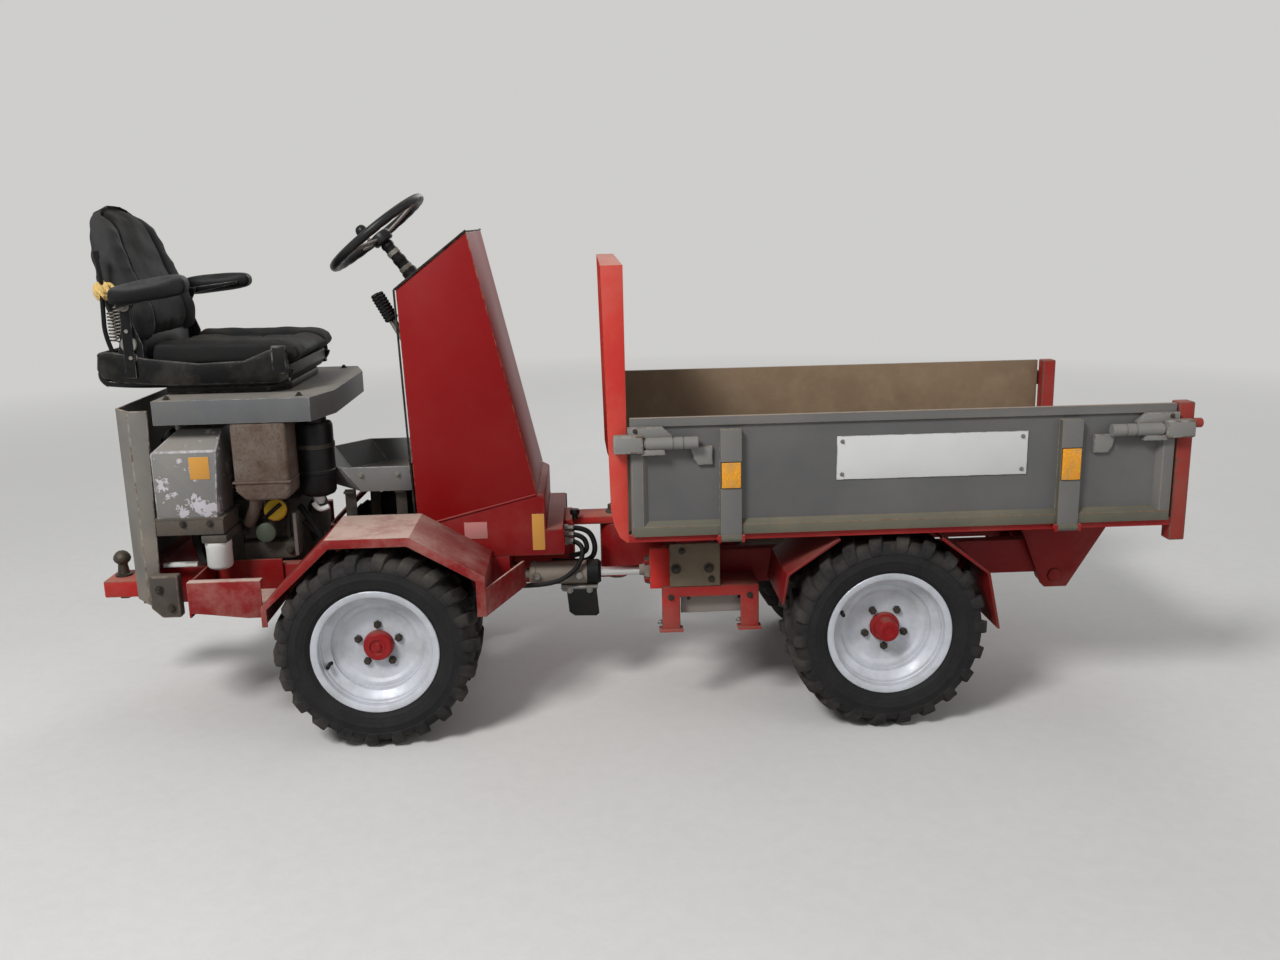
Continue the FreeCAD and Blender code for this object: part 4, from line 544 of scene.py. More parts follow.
def nut_mesh(across, length, stud):
    """A hexagon nut with chamfered corners on its stud, lying along +Y at the origin's height."""
    points, faces = [], []
    rings = ((0.0, across, 6), (length - 0.002, across, 6), (length, across * 0.84, 6),
             (length, stud, 6), (length + 0.003, stud, 6), (length + 0.003, 0.0, 6))
    for along, radius, sides in rings:
        for corner in range(sides):
            turn = math.tau * corner / sides
            points.append((radius * math.sin(turn), along, radius * math.cos(turn)))
    for row in range(len(rings) - 1):
        for corner in range(6):
            after = (corner + 1) % 6
            faces.append((row * 6 + corner, row * 6 + after, row * 6 + 6 + after, row * 6 + 6 + corner))
    return mesh_of("nut", points, faces)


def moved(mesh, *steps):
    """Shifts and turns a mesh by matrices, last one first, as they are written."""
    place = Matrix.Identity(4)
    for step in steps:
        place = place @ step
    mesh.transform(place)
    if place.determinant() < 0:
        mesh.flip_normals()
    return mesh


def shift(x, y, z):
    return Matrix.Translation((x, y, z))


for name, centre, side in WHEELS:
    outward = Matrix.Scale(side, 4, (0, 1, 0))
    front = name.startswith("front")
    for label, outline, finish in (("rim_barrel", RIM_OUTLINE, SILVER), ("rim_disc", DISC_OUTLINE, SILVER),
                                   ("hub_cap", cap_outline(0.097 if front else 0.075, not front),
                                    CAP_RED)):
        outline = [(across * side, radius) for across, radius in outline]
        piece = link(f"{label}_{name}", spun(label, outline, 96, centre, label != "hub_cap"))
        piece.data.materials.append(finish.material)
        if label == "rim_disc":
            nut = moved(nut_mesh(0.0108, 0.011, 0.0055), outward, shift(0, 0.0450, BOLT_RADIUS))
            modify(piece, RING, Part=hidden_part("wheel_nut", nut), Count=5,
                   Phase=math.pi / 5 if front else 0.0, Axle=centre, Finish=DARK_STEEL.material)
        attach(piece, "wheel_" + name)
        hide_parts("rim_" + name)


# Rear chassis: deep rails cut from plate, cross members, folded outer channels and a drawbar block,
# welded and brush-painted red. The paint has gone pink on top and worn off along the edges.
RED = worn_paint("deep_red_paint", "red_paint", tone(116, 8, 11), tone(136, 24, 24),
                 tone(84, 56, 46), tone(146, 112, 98), dust=0.5, low=0.36)
FADED_RED = worn_paint("faded_red_paint", "red_paint", tone(158, 30, 28), tone(184, 58, 50),
                       tone(96, 62, 50), tone(164, 134, 116), dust=0.55, chips=0.06, gloss=0.46)
DUSTY_RED = worn_paint("dusty_red_plate", "red_paint", tone(118, 20, 21), tone(140, 40, 38),
                       tone(92, 70, 58), tone(186, 160, 148), dust=1.5, chips=0.06, gloss=0.5, low=0.40,
                       film_share=0.26, level=0.92)
BALL_STEEL = steel_finish("greased_ball_steel", "black_steel", tone(38, 36, 34), tone(84, 78, 70), 0.42)


def rounded(work, width, angle=28, steps=2):
    """Rounds a shape's sharp edges and marks the new faces, where paint wears first."""
    sharp = [edge for edge in work.edges
             if len(edge.link_faces) == 2 and edge.calc_face_angle(0) > math.radians(angle)]
    made = bmesh.ops.bevel(work, geom=sharp, offset=width, segments=steps, profile=0.5,
                           affect="EDGES", clamp_overlap=True)
    layer = work.loops.layers.float.new("edge")
    for face in made["faces"]:
        for loop in face.loops:
            loop[layer] = 1.0


def smooth_mesh(work, name, angle=40):
    mesh = bpy.data.meshes.new(name)
    work.to_mesh(mesh)
    work.free()
    mesh.polygons.foreach_set("use_smooth", [True] * len(mesh.polygons))
    mesh.set_sharp_from_angle(angle=math.radians(angle))
    return mesh


def plate(outline, axis, low, high, width=0.002, trims=()):
    """A plate or block cut to an outline, from low to high along an axis, its edges rounded."""
    count = len(outline)
    points = []
    for level in (low, high):
        for first, second in outline:
            points.append({"x": (level, first, second), "y": (first, level, second),
                           "z": (first, second, level)}[axis])
    faces = [tuple(range(count)), tuple(range(2 * count - 1, count - 1, -1))]
    for index in range(count):
        after = (index + 1) % count
        faces.append((index, after, after + count, index + count))
    work = bmesh.new()
    work.from_mesh(mesh_of("plate", points, faces))
    cut_off(work, *trims)
    rounded(work, width)
    return smooth_mesh(work, "plate")


def block(low, high, width=0.002):
    (x0, y0, z0), (x1, y1, z1) = low, high
    return plate(((x0, y0), (x1, y0), (x1, y1), (x0, y1)), "z", z0, z1, width)


def turned(outline, start, along=(0, 0, 1), steps=28):
    """A turned part from (distance along its axis, radius) pairs, first and last on the axis."""
    place = Matrix.Translation(start) @ Vector(along).to_track_quat("Z", "Y").to_matrix().to_4x4()
    points, faces = [], []
    for step in range(steps):
        turn = math.tau * step / steps
        points += [(radius * math.cos(turn), radius * math.sin(turn), reach) for reach, radius in outline]
    count = len(outline)
    for step in range(steps):
        follower = (step + 1) % steps
        for index in range(count - 1):
            faces.append((step * count + index, step * count + index + 1,
                          follower * count + index + 1, follower * count + index))
    mesh = mesh_of("turned", points, faces, True)
    mesh.set_sharp_from_angle(angle=math.radians(38))
    mesh.transform(place)
    return mesh


def pin(start, along, length, radius, chamfer=0.0015, steps=24):
    """A round bar with chamfered ends."""
    outline = ((0, 0), (0, radius - chamfer), (chamfer, radius), (length - chamfer, radius),
               (length, radius - chamfer), (length, 0))
    return turned(outline, start, along, steps)


def pipe(points, radius, sides=3):
    """A bent tube or hose on one smooth line led by points."""
    curve = bpy.data.curves.new("pipe", "CURVE")
    curve.dimensions, curve.resolution_u, curve.use_fill_caps = "3D", 6, True
    curve.bevel_depth, curve.bevel_resolution = radius, sides
    spline = curve.splines.new("NURBS")
    spline.points.add(len(points) - 1)
    for spot, point in zip(spline.points, points):
        spot.co = (*point, 1)
    spline.order_u, spline.use_endpoint_u = 3, True
    line = link("pipe", curve)
    mesh = bpy.data.meshes.new_from_object(line.evaluated_get(bpy.context.evaluated_depsgraph_get()))
    bpy.data.objects.remove(line)
    work = bmesh.new()
    work.from_mesh(mesh)
    bmesh.ops.remove_doubles(work, verts=work.verts, dist=1e-6)
    bmesh.ops.recalc_face_normals(work, faces=work.faces)
    return smooth_mesh(work, "pipe", 50)


def mirrored(mesh):
    """The same part for the machine's other side."""
    other = mesh.copy()
    other.transform(Matrix.Scale(-1, 4, (0, 1, 0)))
    other.flip_normals()
    return other


def cut_off(work, *planes):
    """Cuts a shape off along planes, each a spot and the way that is lost, and closes the cuts."""
    for spot, way in planes:
        cut = bmesh.ops.bisect_plane(work, geom=work.verts[:] + work.edges[:] + work.faces[:],
                                     plane_co=spot, plane_no=way, clear_outer=True)["geom_cut"]
        bmesh.ops.edgeloop_fill(work, edges=[part for part in cut if isinstance(part, bmesh.types.BMEdge)])


class Assembly:
    """One piece of the machine, put together from parts that each keep their finish."""

    def __init__(self, name, body):
        self.name, self.body = name, body
        self.work, self.finishes, self.nodes = bmesh.new(), [], []

    def add(self, mesh, finish, both=False):
        if both:
            self.add(mirrored(mesh), finish)
        if finish not in self.finishes:
            self.finishes.append(finish)
        mesh.materials.clear()
        mesh.polygons.foreach_set("material_index", [self.finishes.index(finish)] * len(mesh.polygons))
        self.work.from_mesh(mesh)
        return self

    def take(self, node, finish, width=0.002, regions=(), merge=True, trims=()):
        """Takes over a CAD piece's shape and rounds its edges. Each region gives the faces that its
        test picks another finish; trims cut the shape off along planes."""
        work = bmesh.new()
        work.from_mesh(frame["nodes"][node].data)
        bmesh.ops.remove_doubles(work, verts=work.verts, dist=1e-5)
        if merge:
            bmesh.ops.dissolve_limit(work, angle_limit=math.radians(1), verts=work.verts, edges=work.edges)
        cut_off(work, *trims)
        rounded(work, width)
        for where, other in regions:
            apart = work.copy()
            for half, keep in ((work, False), (apart, True)):
                doomed = [face for face in half.faces
                          if bool(where(face.calc_center_median(), face.normal)) != keep]
                bmesh.ops.delete(half, geom=doomed, context="FACES")
            self.add(smooth_mesh(apart, node), other)
        self.nodes.append(node)
        return self.add(smooth_mesh(work, node), finish)

    def done(self, *nodes):
        mesh = bpy.data.meshes.new(self.name)
        self.work.to_mesh(mesh)
        self.work.free()
        for finish in self.finishes:
            mesh.materials.append(finish.material)
        piece = link(self.name, mesh)
        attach(piece, self.body)
        if self.nodes or nodes:
            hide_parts(*self.nodes, *nodes)
        return piece


Assembly("rear_rails", "rear_chassis").take("rear_frame", RED).done()
sills = Assembly("rear_sill_channels", "rear_chassis")
sills.add(plate(((-1.120, 0.386), (-1.120, 0.468), (-0.932, 0.468), (-0.932, 0.368), (-0.972, 0.368),
                 (-1.066, 0.380)), "y", -0.445, -0.439, 0.0015), DUSTY_RED, both=True)
sills.add(block((-1.120, -0.444, 0.4625), (-0.932, -0.418, 0.4690), 0.0015), DUSTY_RED, both=True)
sills.add(block((-1.122, -0.440, 0.372), (-1.116, -0.222, 0.463), 0.0015), RED, both=True)
sills.add(block((-1.122, -0.395, 0.367), (-0.930, -0.222, 0.373), 0.0015), DUSTY_RED, both=True)
sills.add(block((-1.030, -0.438, 0.373), (-0.930, -0.228, 0.379), 0.0015), DUSTY_RED, both=True)
sills.add(block((-1.030, -0.438, 0.379), (-1.024, -0.228, 0.417), 0.0015), RED, both=True)
sills.add(block((-1.106, -0.232, 0.373), (-0.930, -0.222, 0.463), 0.0015), RED, both=True)
sills.done("rear_sills")
Assembly("rear_fender_plates", "rear_chassis").take("rear_fenders", DUSTY_RED, 0.0015).done()

drawbar = Assembly("drawbar_and_ball", "rear_chassis")
drawbar.add(block((-1.498, -0.060, 0.312), (-1.322, 0.060, 0.362), 0.005), FADED_RED)
drawbar.add(block((-1.332, -0.060, 0.312), (-1.200, 0.060, 0.345), 0.003), FADED_RED)
drawbar.add(turned(((0, 0), (0, 0.024), (0.006, 0.024), (0.008, 0.017), (0.034, 0.0135), (0.038, 0.0150),
                    (0.044, 0.0215), (0.053, 0.0250), (0.062, 0.0225), (0.070, 0.0165), (0.0745, 0.010),
                    (0.0755, 0)), (-1.459, 0, 0.362)), BALL_STEEL)
drawbar.add(turned(((0, 0), (0.001, 0.020), (0.016, 0.022), (0.018, 0)), (-1.459, 0, 0.295), steps=6),
            BALL_STEEL)
drawbar.done("tow_bar")


# Guard: one thick plate bent round the tail, open at the top, with rubber-faced buffer blocks
# bolted low on its sides. Grey paint over older coats, rubbed matt by dust.
GREY = worn_paint("worn_grey_paint", "grey_paint", tone(104, 104, 103), tone(132, 131, 128),
                  tone(168, 166, 164), tone(140, 129, 114), dust=0.5, chips=0.09, gloss=0.5)
GUARD_GREY = worn_paint("mottled_guard_grey", "grey_paint", tone(98, 95, 91), tone(140, 134, 126),
                        tone(84, 68, 56), tone(150, 136, 118), dust=0.8, chips=0.1, gloss=0.55, low=0.7)
BUFFER = worn_paint("dirty_buffer_block", "black_steel", tone(62, 58, 54), tone(80, 74, 67),
                    tone(104, 96, 86), tone(118, 106, 92), dust=0.8, chips=0.08, gloss=0.7, low=0.5)


def spot_tree():
    """Sets a small part on every point of a piece, all turned one way."""
    tree = bpy.data.node_groups.new("parts_on_spots", "GeometryNodeTree")
    for name, kind in (("Geometry", "Geometry"), ("Part", "Object"), ("Turn", "Vector"),
                       ("Size", "Float"), ("Finish", "Material")):
        tree.interface.new_socket(name, in_out="INPUT", socket_type="NodeSocket" + kind)
    tree.interface.new_socket("Geometry", in_out="OUTPUT", socket_type="NodeSocketGeometry")
    given = tree.nodes.new("NodeGroupInput").outputs
    part = tree_node(tree, "GeometryNodeObjectInfo", {}, {"Object": given["Part"]})
    copies = tree_node(tree, "GeometryNodeInstanceOnPoints", {},
                       {"Points": given["Geometry"], "Instance": part.outputs["Geometry"],
                        "Rotation": given["Turn"], "Scale": given["Size"]})
    real = tree_node(tree, "GeometryNodeRealizeInstances", {}, {"Geometry": copies.outputs[0]})
    coated = tree_node(tree, "GeometryNodeSetMaterial", {}, {"Geometry": real.outputs[0],
                                                             "Material": given["Finish"]})
    result = tree.nodes.new("NodeGroupOutput")
    tree.links.new(coated.outputs[0], result.inputs[0])
    return tree


SPOTS = spot_tree()
BOLT = hidden_part("bolt_pattern", bpy.data.meshes.new("bolt"))
head = bmesh.new()
head.from_mesh(turned(((0, 0), (0, 0.0125), (0.0018, 0.0125), (0.0022, 0.0100), (0.0022, 0)), (0, 0, 0), (0, 1, 0), 16))
head.from_mesh(moved(nut_mesh(0.0088, 0.0068, 0.0050), shift(0, 0.0018, 0)))
head.to_mesh(BOLT.data)


def bolts(spots, toward, large=1.0):
    """Hexagon heads on washers at spots, all facing one way."""
    holder = link("bolts", mesh_of("bolts", spots, []))
    turn = Vector((0, 1, 0)).rotation_difference(Vector(toward)).to_euler()
    modify(holder, SPOTS, Part=BOLT, Turn=tuple(turn), Size=large, Finish=DARK_STEEL.material)
    heads = holder.data
    bpy.data.objects.remove(holder)
    return heads


GUARD_FRONT = ((-1.243, 0, 0.364), (1.0, 0, -0.036))
guard = Assembly("tail_guard", "rear_chassis").take("rear_guard", GUARD_GREY, 0.0028, trims=[GUARD_FRONT])
guard.done()
buffers = Assembly("buffer_blocks", "rear_chassis").take("corner_blocks", BUFFER, 0.005)
buffers.add(bolts([(-1.232, -0.3335, 0.418), (-1.204, -0.3335, 0.366)], (0, -1, 0)), DARK_STEEL, both=True)
buffers.done()


# Engine: an air-cooled twin diesel between the rails. Cast crankcase on a pressed sump, two finned
# barrels under bolted heads, a cowled flywheel fan at the tail and a gear pump at the front.
CAST = steel_finish("oily_cast_iron", "black_steel", tone(44, 43, 41), tone(84, 81, 76), 0.6, 0.35, 0.55)
STEEL = steel_finish("dull_zinc_steel", "dusty_steel", tone(112, 110, 106), tone(150, 148, 142), 0.42, 0.7, 0.5)
FIN_ALLOY = steel_finish("dusty_cast_alloy", "dusty_steel", tone(96, 95, 92), tone(138, 136, 130), 0.55,
                         0.4, 0.5)
BLACK_PLASTIC = worn_paint("moulded_black_plastic", "black_plastic", tone(10, 10, 12), tone(22, 22, 24),
                           tone(70, 68, 66), tone(88, 82, 74), dust=0.4, chips=0.0, gloss=0.38)
PUMP_GREEN = worn_paint("faded_green_pump", "dusty_steel", tone(64, 72, 60), tone(82, 86, 74),
                        tone(70, 66, 60), tone(120, 112, 98), dust=0.6, chips=0.08, gloss=0.5)
YELLOW = worn_paint("yellow_filler_cap", "filter_white", tone(188, 150, 34), tone(196, 166, 70),
                    tone(130, 110, 60), tone(124, 110, 84), dust=0.5, chips=0.03, gloss=0.4, film_share=0.35)
WHITE = worn_paint("white_painted_tin", "filter_white", tone(206, 206, 202), tone(190, 188, 182),
                   tone(120, 112, 102), tone(150, 142, 128), dust=0.4, chips=0.03, gloss=0.4)
HOSE_RUBBER = worn_paint("black_hose_rubber", "black_plastic", tone(12, 12, 13), tone(24, 24, 24),
                         tone(60, 58, 54), tone(84, 78, 70), dust=0.4, chips=0.0, gloss=0.55)

for name, centre, side in WHEELS:
    spot = centre + Vector((-0.124, side * 0.066, 0.053) if name.startswith("front") else
                           (-0.128, side * 0.066, -0.041))
    Assembly("valve_stem_" + name, "wheel_" + name).add(
        turned(((0, 0), (0, 0.0085), (0.004, 0.0085), (0.007, 0.0055), (0.022, 0.0045), (0.022, 0.0056),
                (0.036, 0.0052), (0.037, 0)), spot, (0, side, 0), 12), HOSE_RUBBER).done("rim_" + name)

engine = Assembly("twin_diesel_engine", "rear_chassis")
engine.add(block((-1.168, -0.128, 0.408), (-0.892, 0.128, 0.612), 0.010), CAST)
engine.add(plate(((-0.120, 0.362), (0.120, 0.362), (0.135, 0.372), (0.135, 0.404), (-0.135, 0.404),
                  (-0.135, 0.372)), "x", -1.160, -0.900, 0.006), BLACK_PLASTIC)
engine.add(block((-1.174, -0.140, 0.402), (-0.886, 0.140, 0.411), 0.002), CAST)
for x in (-1.128, -1.062, -0.996, -0.930):
    engine.add(block((x - 0.005, -0.138, 0.420), (x + 0.005, 0.138, 0.596), 0.002), CAST)
fins = [(0.0, 0.0), (0.0, 0.066)]
for step in range(11):
    height = 0.004 + step * 0.0102
    fins += [(height, 0.066), (height + 0.0006, 0.086), (height + 0.0030, 0.086), (height + 0.0038, 0.066)]
fins += [(0.118, 0.066), (0.118, 0.0)]
for x in (-1.104, -0.962):
    engine.add(turned(fins, (x, 0, 0.610), steps=32), FIN_ALLOY)
    engine.add(block((x - 0.062, -0.098, 0.726), (x + 0.062, 0.098, 0.776), 0.006), FIN_ALLOY)
    engine.add(block((x - 0.050, -0.082, 0.774), (x + 0.050, 0.082, 0.816), 0.012), CAST)
    engine.add(bolts([(x + a, b, 0.7755) for a in (-0.0535, 0.0535) for b in (-0.088, 0.088)], (0, 0, 1)),
               DARK_STEEL)
    engine.add(pipe([(x, -0.090, 0.752), (x, -0.140, 0.752), (x + 0.02, -0.160, 0.720),
                     (x + 0.03, -0.165, 0.690)], 0.017), CAST)
    engine.add(pipe([(x, 0.090, 0.752), (x, 0.140, 0.750), (x - 0.03, 0.150, 0.735)], 0.019), CAST)
    engine.add(pipe([(x - 0.02, -0.135, 0.560), (x - 0.02, -0.168, 0.600), (x - 0.03, -0.150, 0.700),
                     (x - 0.03, -0.085, 0.745)], 0.0035), FIN_ALLOY)
engine.add(turned(((0, 0), (0, 0.158), (0.004, 0.162), (0.022, 0.162), (0.026, 0.150), (0.026, 0)),
                  (-1.195, 0, 0.540), (1, 0, 0), 40), BLACK_PLASTIC)
engine.add(turned(((0, 0), (0, 0.060), (0.006, 0.066), (0.030, 0.066), (0.036, 0.052), (0.036, 0)),
                  (-0.888, 0, 0.520), (1, 0, 0)), CAST)
engine.add(block((-1.044, -0.183, 0.508), (-0.982, -0.120, 0.550), 0.010), CAST)
engine.add(block((-1.046, -0.183, 0.450), (-0.900, -0.126, 0.500), 0.008), CAST)
engine.add(bolts([(-1.034, -0.1835, 0.534), (-0.984, -0.1835, 0.534), (-0.915, -0.1835, 0.475)], (0, -1, 0)),
           DARK_STEEL)
engine.add(pipe([(-0.940, -0.120, 0.560), (-0.940, -0.175, 0.565), (-0.937, -0.200, 0.585),
                 (-0.937, -0.214, 0.604)], 0.013), CAST)
engine.add(turned(((0, 0), (0, 0.022), (0.006, 0.030), (0.016, 0.031), (0.021, 0.028), (0.024, 0.020),
                   (0.024, 0)), (-0.937, -0.214, 0.598), (0.05, -1, 0.35), 14), YELLOW)
engine.add(pipe([(-0.958, -0.240, 0.588), (-0.944, -0.246, 0.600), (-0.930, -0.247, 0.612),
                 (-0.916, -0.243, 0.622)], 0.0055, 3), BLACK_PLASTIC)
engine.add(turned(((0, 0), (0, 0.020), (0.006, 0.026), (0.030, 0.027), (0.034, 0.020), (0.034, 0)),
                  (-0.972, -0.184, 0.532), (0, -1, 0.1), 20), PUMP_GREEN)
engine.add(block((-0.893, -0.226, 0.470), (-0.883, -0.182, 0.592), 0.0015), STEEL)
engine.add(block((-1.243, -0.262, 0.458), (-1.150, -0.248, 0.470), 0.002), WHITE)
engine.add(pipe([(-0.834, -0.214, 0.616), (-0.826, -0.218, 0.602), (-0.810, -0.220, 0.598),
                 (-0.792, -0.218, 0.606)], 0.0075), WHITE)
for spots in (((-0.870, -0.190, 0.560), (-0.830, -0.205, 0.520), (-0.760, -0.200, 0.500), (-0.640, -0.190, 0.500)),
              ((-0.880, -0.180, 0.600), (-0.840, -0.215, 0.560), (-0.800, -0.200, 0.470), (-0.860, -0.190, 0.430)),
              ((-1.080, -0.175, 0.590), (-1.020, -0.200, 0.575), (-0.965, -0.190, 0.590), (-0.900, -0.185, 0.640))):
    engine.add(pipe(spots, 0.0095, 3), HOSE_RUBBER)
engine.done("engine_block")


# Air cleaner: a black moulded can hung from the deck in front of the engine, with a snap-on bowl,
# a dust valve below and a rubber elbow to the inlet. A steel band rings it above the middle.
cleaner = Assembly("air_cleaner", "rear_chassis")
CAN = (-0.822, -0.196)
cleaner.add(turned(((0, 0), (0, 0.030), (0.006, 0.044), (0.014, 0.049), (0.064, 0.051), (0.066, 0.0545),
                    (0.074, 0.0545), (0.076, 0.051), (0.196, 0.051), (0.204, 0.047), (0.206, 0.036),
                    (0.240, 0.034), (0.240, 0)), (*CAN, 0.634), steps=36), BLACK_PLASTIC)
cleaner.add(turned(((0, 0), (0, 0.012), (0.010, 0.016), (0.024, 0.016), (0.026, 0)), (*CAN, 0.610), steps=16),
            WHITE)
cleaner.add(pipe([(-0.846, -0.160, 0.800), (-0.868, -0.140, 0.792), (-0.880, -0.110, 0.770)], 0.021),
            HOSE_RUBBER)
cleaner.add(turned(((0, 0.0512), (0, 0.0535), (0.012, 0.0535), (0.012, 0.0512)), (*CAN, 0.770), steps=36),
            DARK_STEEL)
cleaner.done()


# Tool tray: folded sheet with leaning walls, set on brackets between the engine and the console.
def tray_ring(corners, height, lean):
    return [Vector((x + lean, y, height)) for x, y in corners]


TRAY_PLAN = ((-0.842, -0.110), (-0.752, -0.218), (-0.566, -0.218), (-0.566, 0.218), (-0.752, 0.218), (-0.842, 0.110))
TRAY_INSIDE = [(x + (0.004 if x < -0.7 else -0.004), y * 0.982) for x, y in TRAY_PLAN]
rings = [tray_ring(TRAY_PLAN, 0.712, 0.0), tray_ring(TRAY_PLAN, 0.640, 0.0), tray_ring(TRAY_INSIDE, 0.644, 0.0),
         tray_ring(TRAY_INSIDE, 0.712, 0.0)]
for ring in rings[1:3]:
    for spot in ring:
        spot.x += 0.050 if spot.x < -0.7 else 0.0
        spot.y *= 0.93
tray_points = [point for ring in rings for point in ring]
tray_faces = [tuple(range(6, 12)), tuple(range(12, 18))]
for row, after in ((0, 1), (2, 3), (3, 0)):
    for index in range(6):
        follower = (index + 1) % 6
        tray_faces.append((row * 6 + index, row * 6 + follower, after * 6 + follower, after * 6 + index))
tray_work = bmesh.new()
tray_work.from_mesh(mesh_of("tray", tray_points, tray_faces))
rounded(tray_work, 0.0015)
tray = Assembly("folded_tool_tray", "rear_chassis").add(smooth_mesh(tray_work, "tray"), GREY)
for x in (-0.740, -0.600):
    tray.add(block((x - 0.015, -0.180, 0.448), (x + 0.015, -0.174, 0.642), 0.001), DARK_STEEL, both=True)
    tray.add(block((x - 0.015, -0.200, 0.634), (x + 0.015, -0.174, 0.640), 0.001), DARK_STEEL, both=True)
tray.add(bolts([(-0.700, -0.2145, 0.690), (-0.600, -0.2145, 0.690)], (0, -1, 0), 0.6), STEEL, both=True)
tray.done()


# Tanks: fuel on the right, oil on the left, folded and welded sheet in a shallow tray. The grey
# coat has flaked to pale primer low down. A blank orange plate marks the fuel side.
def flaking_paint():
    paint = Finish("flaking_tank_paint", "grey_paint")
    fine = paint.noise(60.0, 6.0, 0.7)
    broad = paint.noise(5.0, 5.0, 0.6)
    low = (1.0 - (paint.place.axis("Z") - 0.60) / 0.22).held()
    flakes = (paint.noise(15.0, 7.0, 0.72) + low * 0.11).over(0.63, 0.02)
    rim = (paint.noise(15.0, 7.0, 0.72) + low * 0.11).over(0.615, 0.03)
    edge = paint.attribute("edge") * fine.over(0.48, 0.15)
    dust = (paint.facing.axis("Z").over(0.6, 0.5) * 0.5 + paint.noise(9.0, 7.0).over(0.55, 0.25) * 0.4).held()
    colour = paint.mix(tone(98, 97, 95), tone(122, 121, 118), broad)
    colour = paint.mix(colour, tone(84, 80, 76), rim)
    colour = paint.mix(colour, tone(182, 178, 184), flakes.most(edge * 0.7))
    colour = paint.mix(colour, tone(136, 124, 108), dust * fine)
    height = fine * 0.3 - flakes * 0.8
    return paint.set(Base_Color=colour, Roughness=0.46 + flakes * 0.2 + dust * 0.3,
                     Normal=paint.bump(height, 0.0008, 0.5))


TANK_GREY = flaking_paint()
ORANGE = worn_paint("blank_orange_plate", "filter_white", tone(186, 132, 58), tone(190, 150, 88),
                    tone(170, 150, 130), tone(160, 140, 118), dust=0.3, chips=0.03, gloss=0.35)
tanks = Assembly("side_tank_pair", "rear_chassis")
TANK_SIDE = ((-1.218, 0.609), (-1.218, 0.786), (-1.160, 0.841), (-1.043, 0.841), (-1.060, 0.609))
TANK_SHOULDER = ((0, -0.330, 0.791), (0, -0.65, 0.76))
tanks.add(plate(TANK_SIDE, "y", -0.330, -0.186, 0.004, [TANK_SHOULDER]), TANK_GREY, both=True)
tanks.add(block((-1.222, -0.334, 0.566), (-1.046, -0.190, 0.611), 0.003), CAST, both=True)
tanks.add(block((-1.225, -0.3345, 0.606), (-1.043, -0.187, 0.613), 0.0015), CAST, both=True)
tanks.add(block((-1.120, -0.3318, 0.716), (-1.068, -0.3298, 0.776), 0.0008), ORANGE)
for x, z in ((-1.150, 0.597), (-1.080, 0.597)):
    tanks.add(bolts([(x, -0.3342, z)], (0, -1, 0), 0.8), DARK_STEEL, both=True)
tanks.add(turned(((0, 0), (0, 0.021), (0.004, 0.024), (0.016, 0.024), (0.018, 0.021), (0.018, 0)),
                 (-1.189, -0.240, 0.8125), (-0.7, 0, 0.7), 12), BLACK_PLASTIC, both=True)
tanks.done("side_tanks")


# Silencer: a pressed box of thin steel under the deck, rusted all over, with a folded seam round
# its waist. Beside it hang the white spin-on filter and its cast head.
def rust_finish():
    paint = Finish("coarse_rust", "rust_brown")
    grain = paint.noise(130.0, 8.0, 0.75)
    patch = paint.noise(18.0, 8.0, 0.7)
    scale = paint.cells(70.0)
    ash = paint.noise(9.0, 6.0, 0.6).over(0.52, 0.3)
    colour = paint.mix(tone(62, 47, 38), tone(98, 76, 60), patch)
    colour = paint.mix(colour, tone(110, 103, 96), ash * 0.8)
    colour = paint.mix(colour, tone(46, 36, 30), grain.over(0.58, 0.2) * 0.7)
    return paint.set(Base_Color=colour, Roughness=0.82 + patch * 0.12, Metallic=0.1,
                     Normal=paint.bump(grain + scale * 0.5 + patch * 0.5, 0.0022, 0.8))


RUST = rust_finish()
box_silencer = Assembly("box_silencer", "rear_chassis").take("silencer", RUST, 0.009)
box_silencer.add(plate(((-1.012, 0.700), (-0.860, 0.700), (-0.860, 0.706), (-1.012, 0.706)), "y",
                       -0.334, -0.186, 0.002), RUST)
box_silencer.add(pipe([(-0.985, -0.228, 0.665), (-0.985, -0.226, 0.630), (-1.000, -0.212, 0.590),
                       (-1.020, -0.200, 0.560)], 0.017, 4), RUST)
box_silencer.done()

oil_can = Assembly("spin_on_filter", "rear_chassis")
oil_can.add(turned(((0, 0), (0, 0.024), (0.003, 0.030), (0.010, 0.0335), (0.058, 0.0335), (0.060, 0.0345),
                    (0.076, 0.0345), (0.076, 0)), (-1.076, -0.296, 0.464), steps=36), WHITE)
oil_can.add(block((-1.110, -0.330, 0.540), (-1.042, -0.186, 0.564), 0.005), CAST)
oil_can.add(bolts([(-1.098, -0.200, 0.5645), (-1.054, -0.200, 0.5645)], (0, 0, 1), 0.8), DARK_STEEL)
oil_can.done("oil_filter")


# Deck: folded sheet over the engine that the seat stands on. Grey paint, chipped round the rim.
DECK_GREY = worn_paint("chipped_deck_grey", "grey_paint", tone(88, 89, 90), tone(110, 110, 109),
                       tone(176, 174, 170), tone(146, 136, 120), dust=0.45, chips=0.1, gloss=0.46)
deck = Assembly("engine_deck", "rear_chassis").take("seat_deck", DECK_GREY, 0.004)
deck.add(bolts([(-1.170, -0.300, 0.925), (-0.830, -0.290, 0.925)], (0, 0, 1), 0.8), DARK_STEEL, both=True)
deck.done()


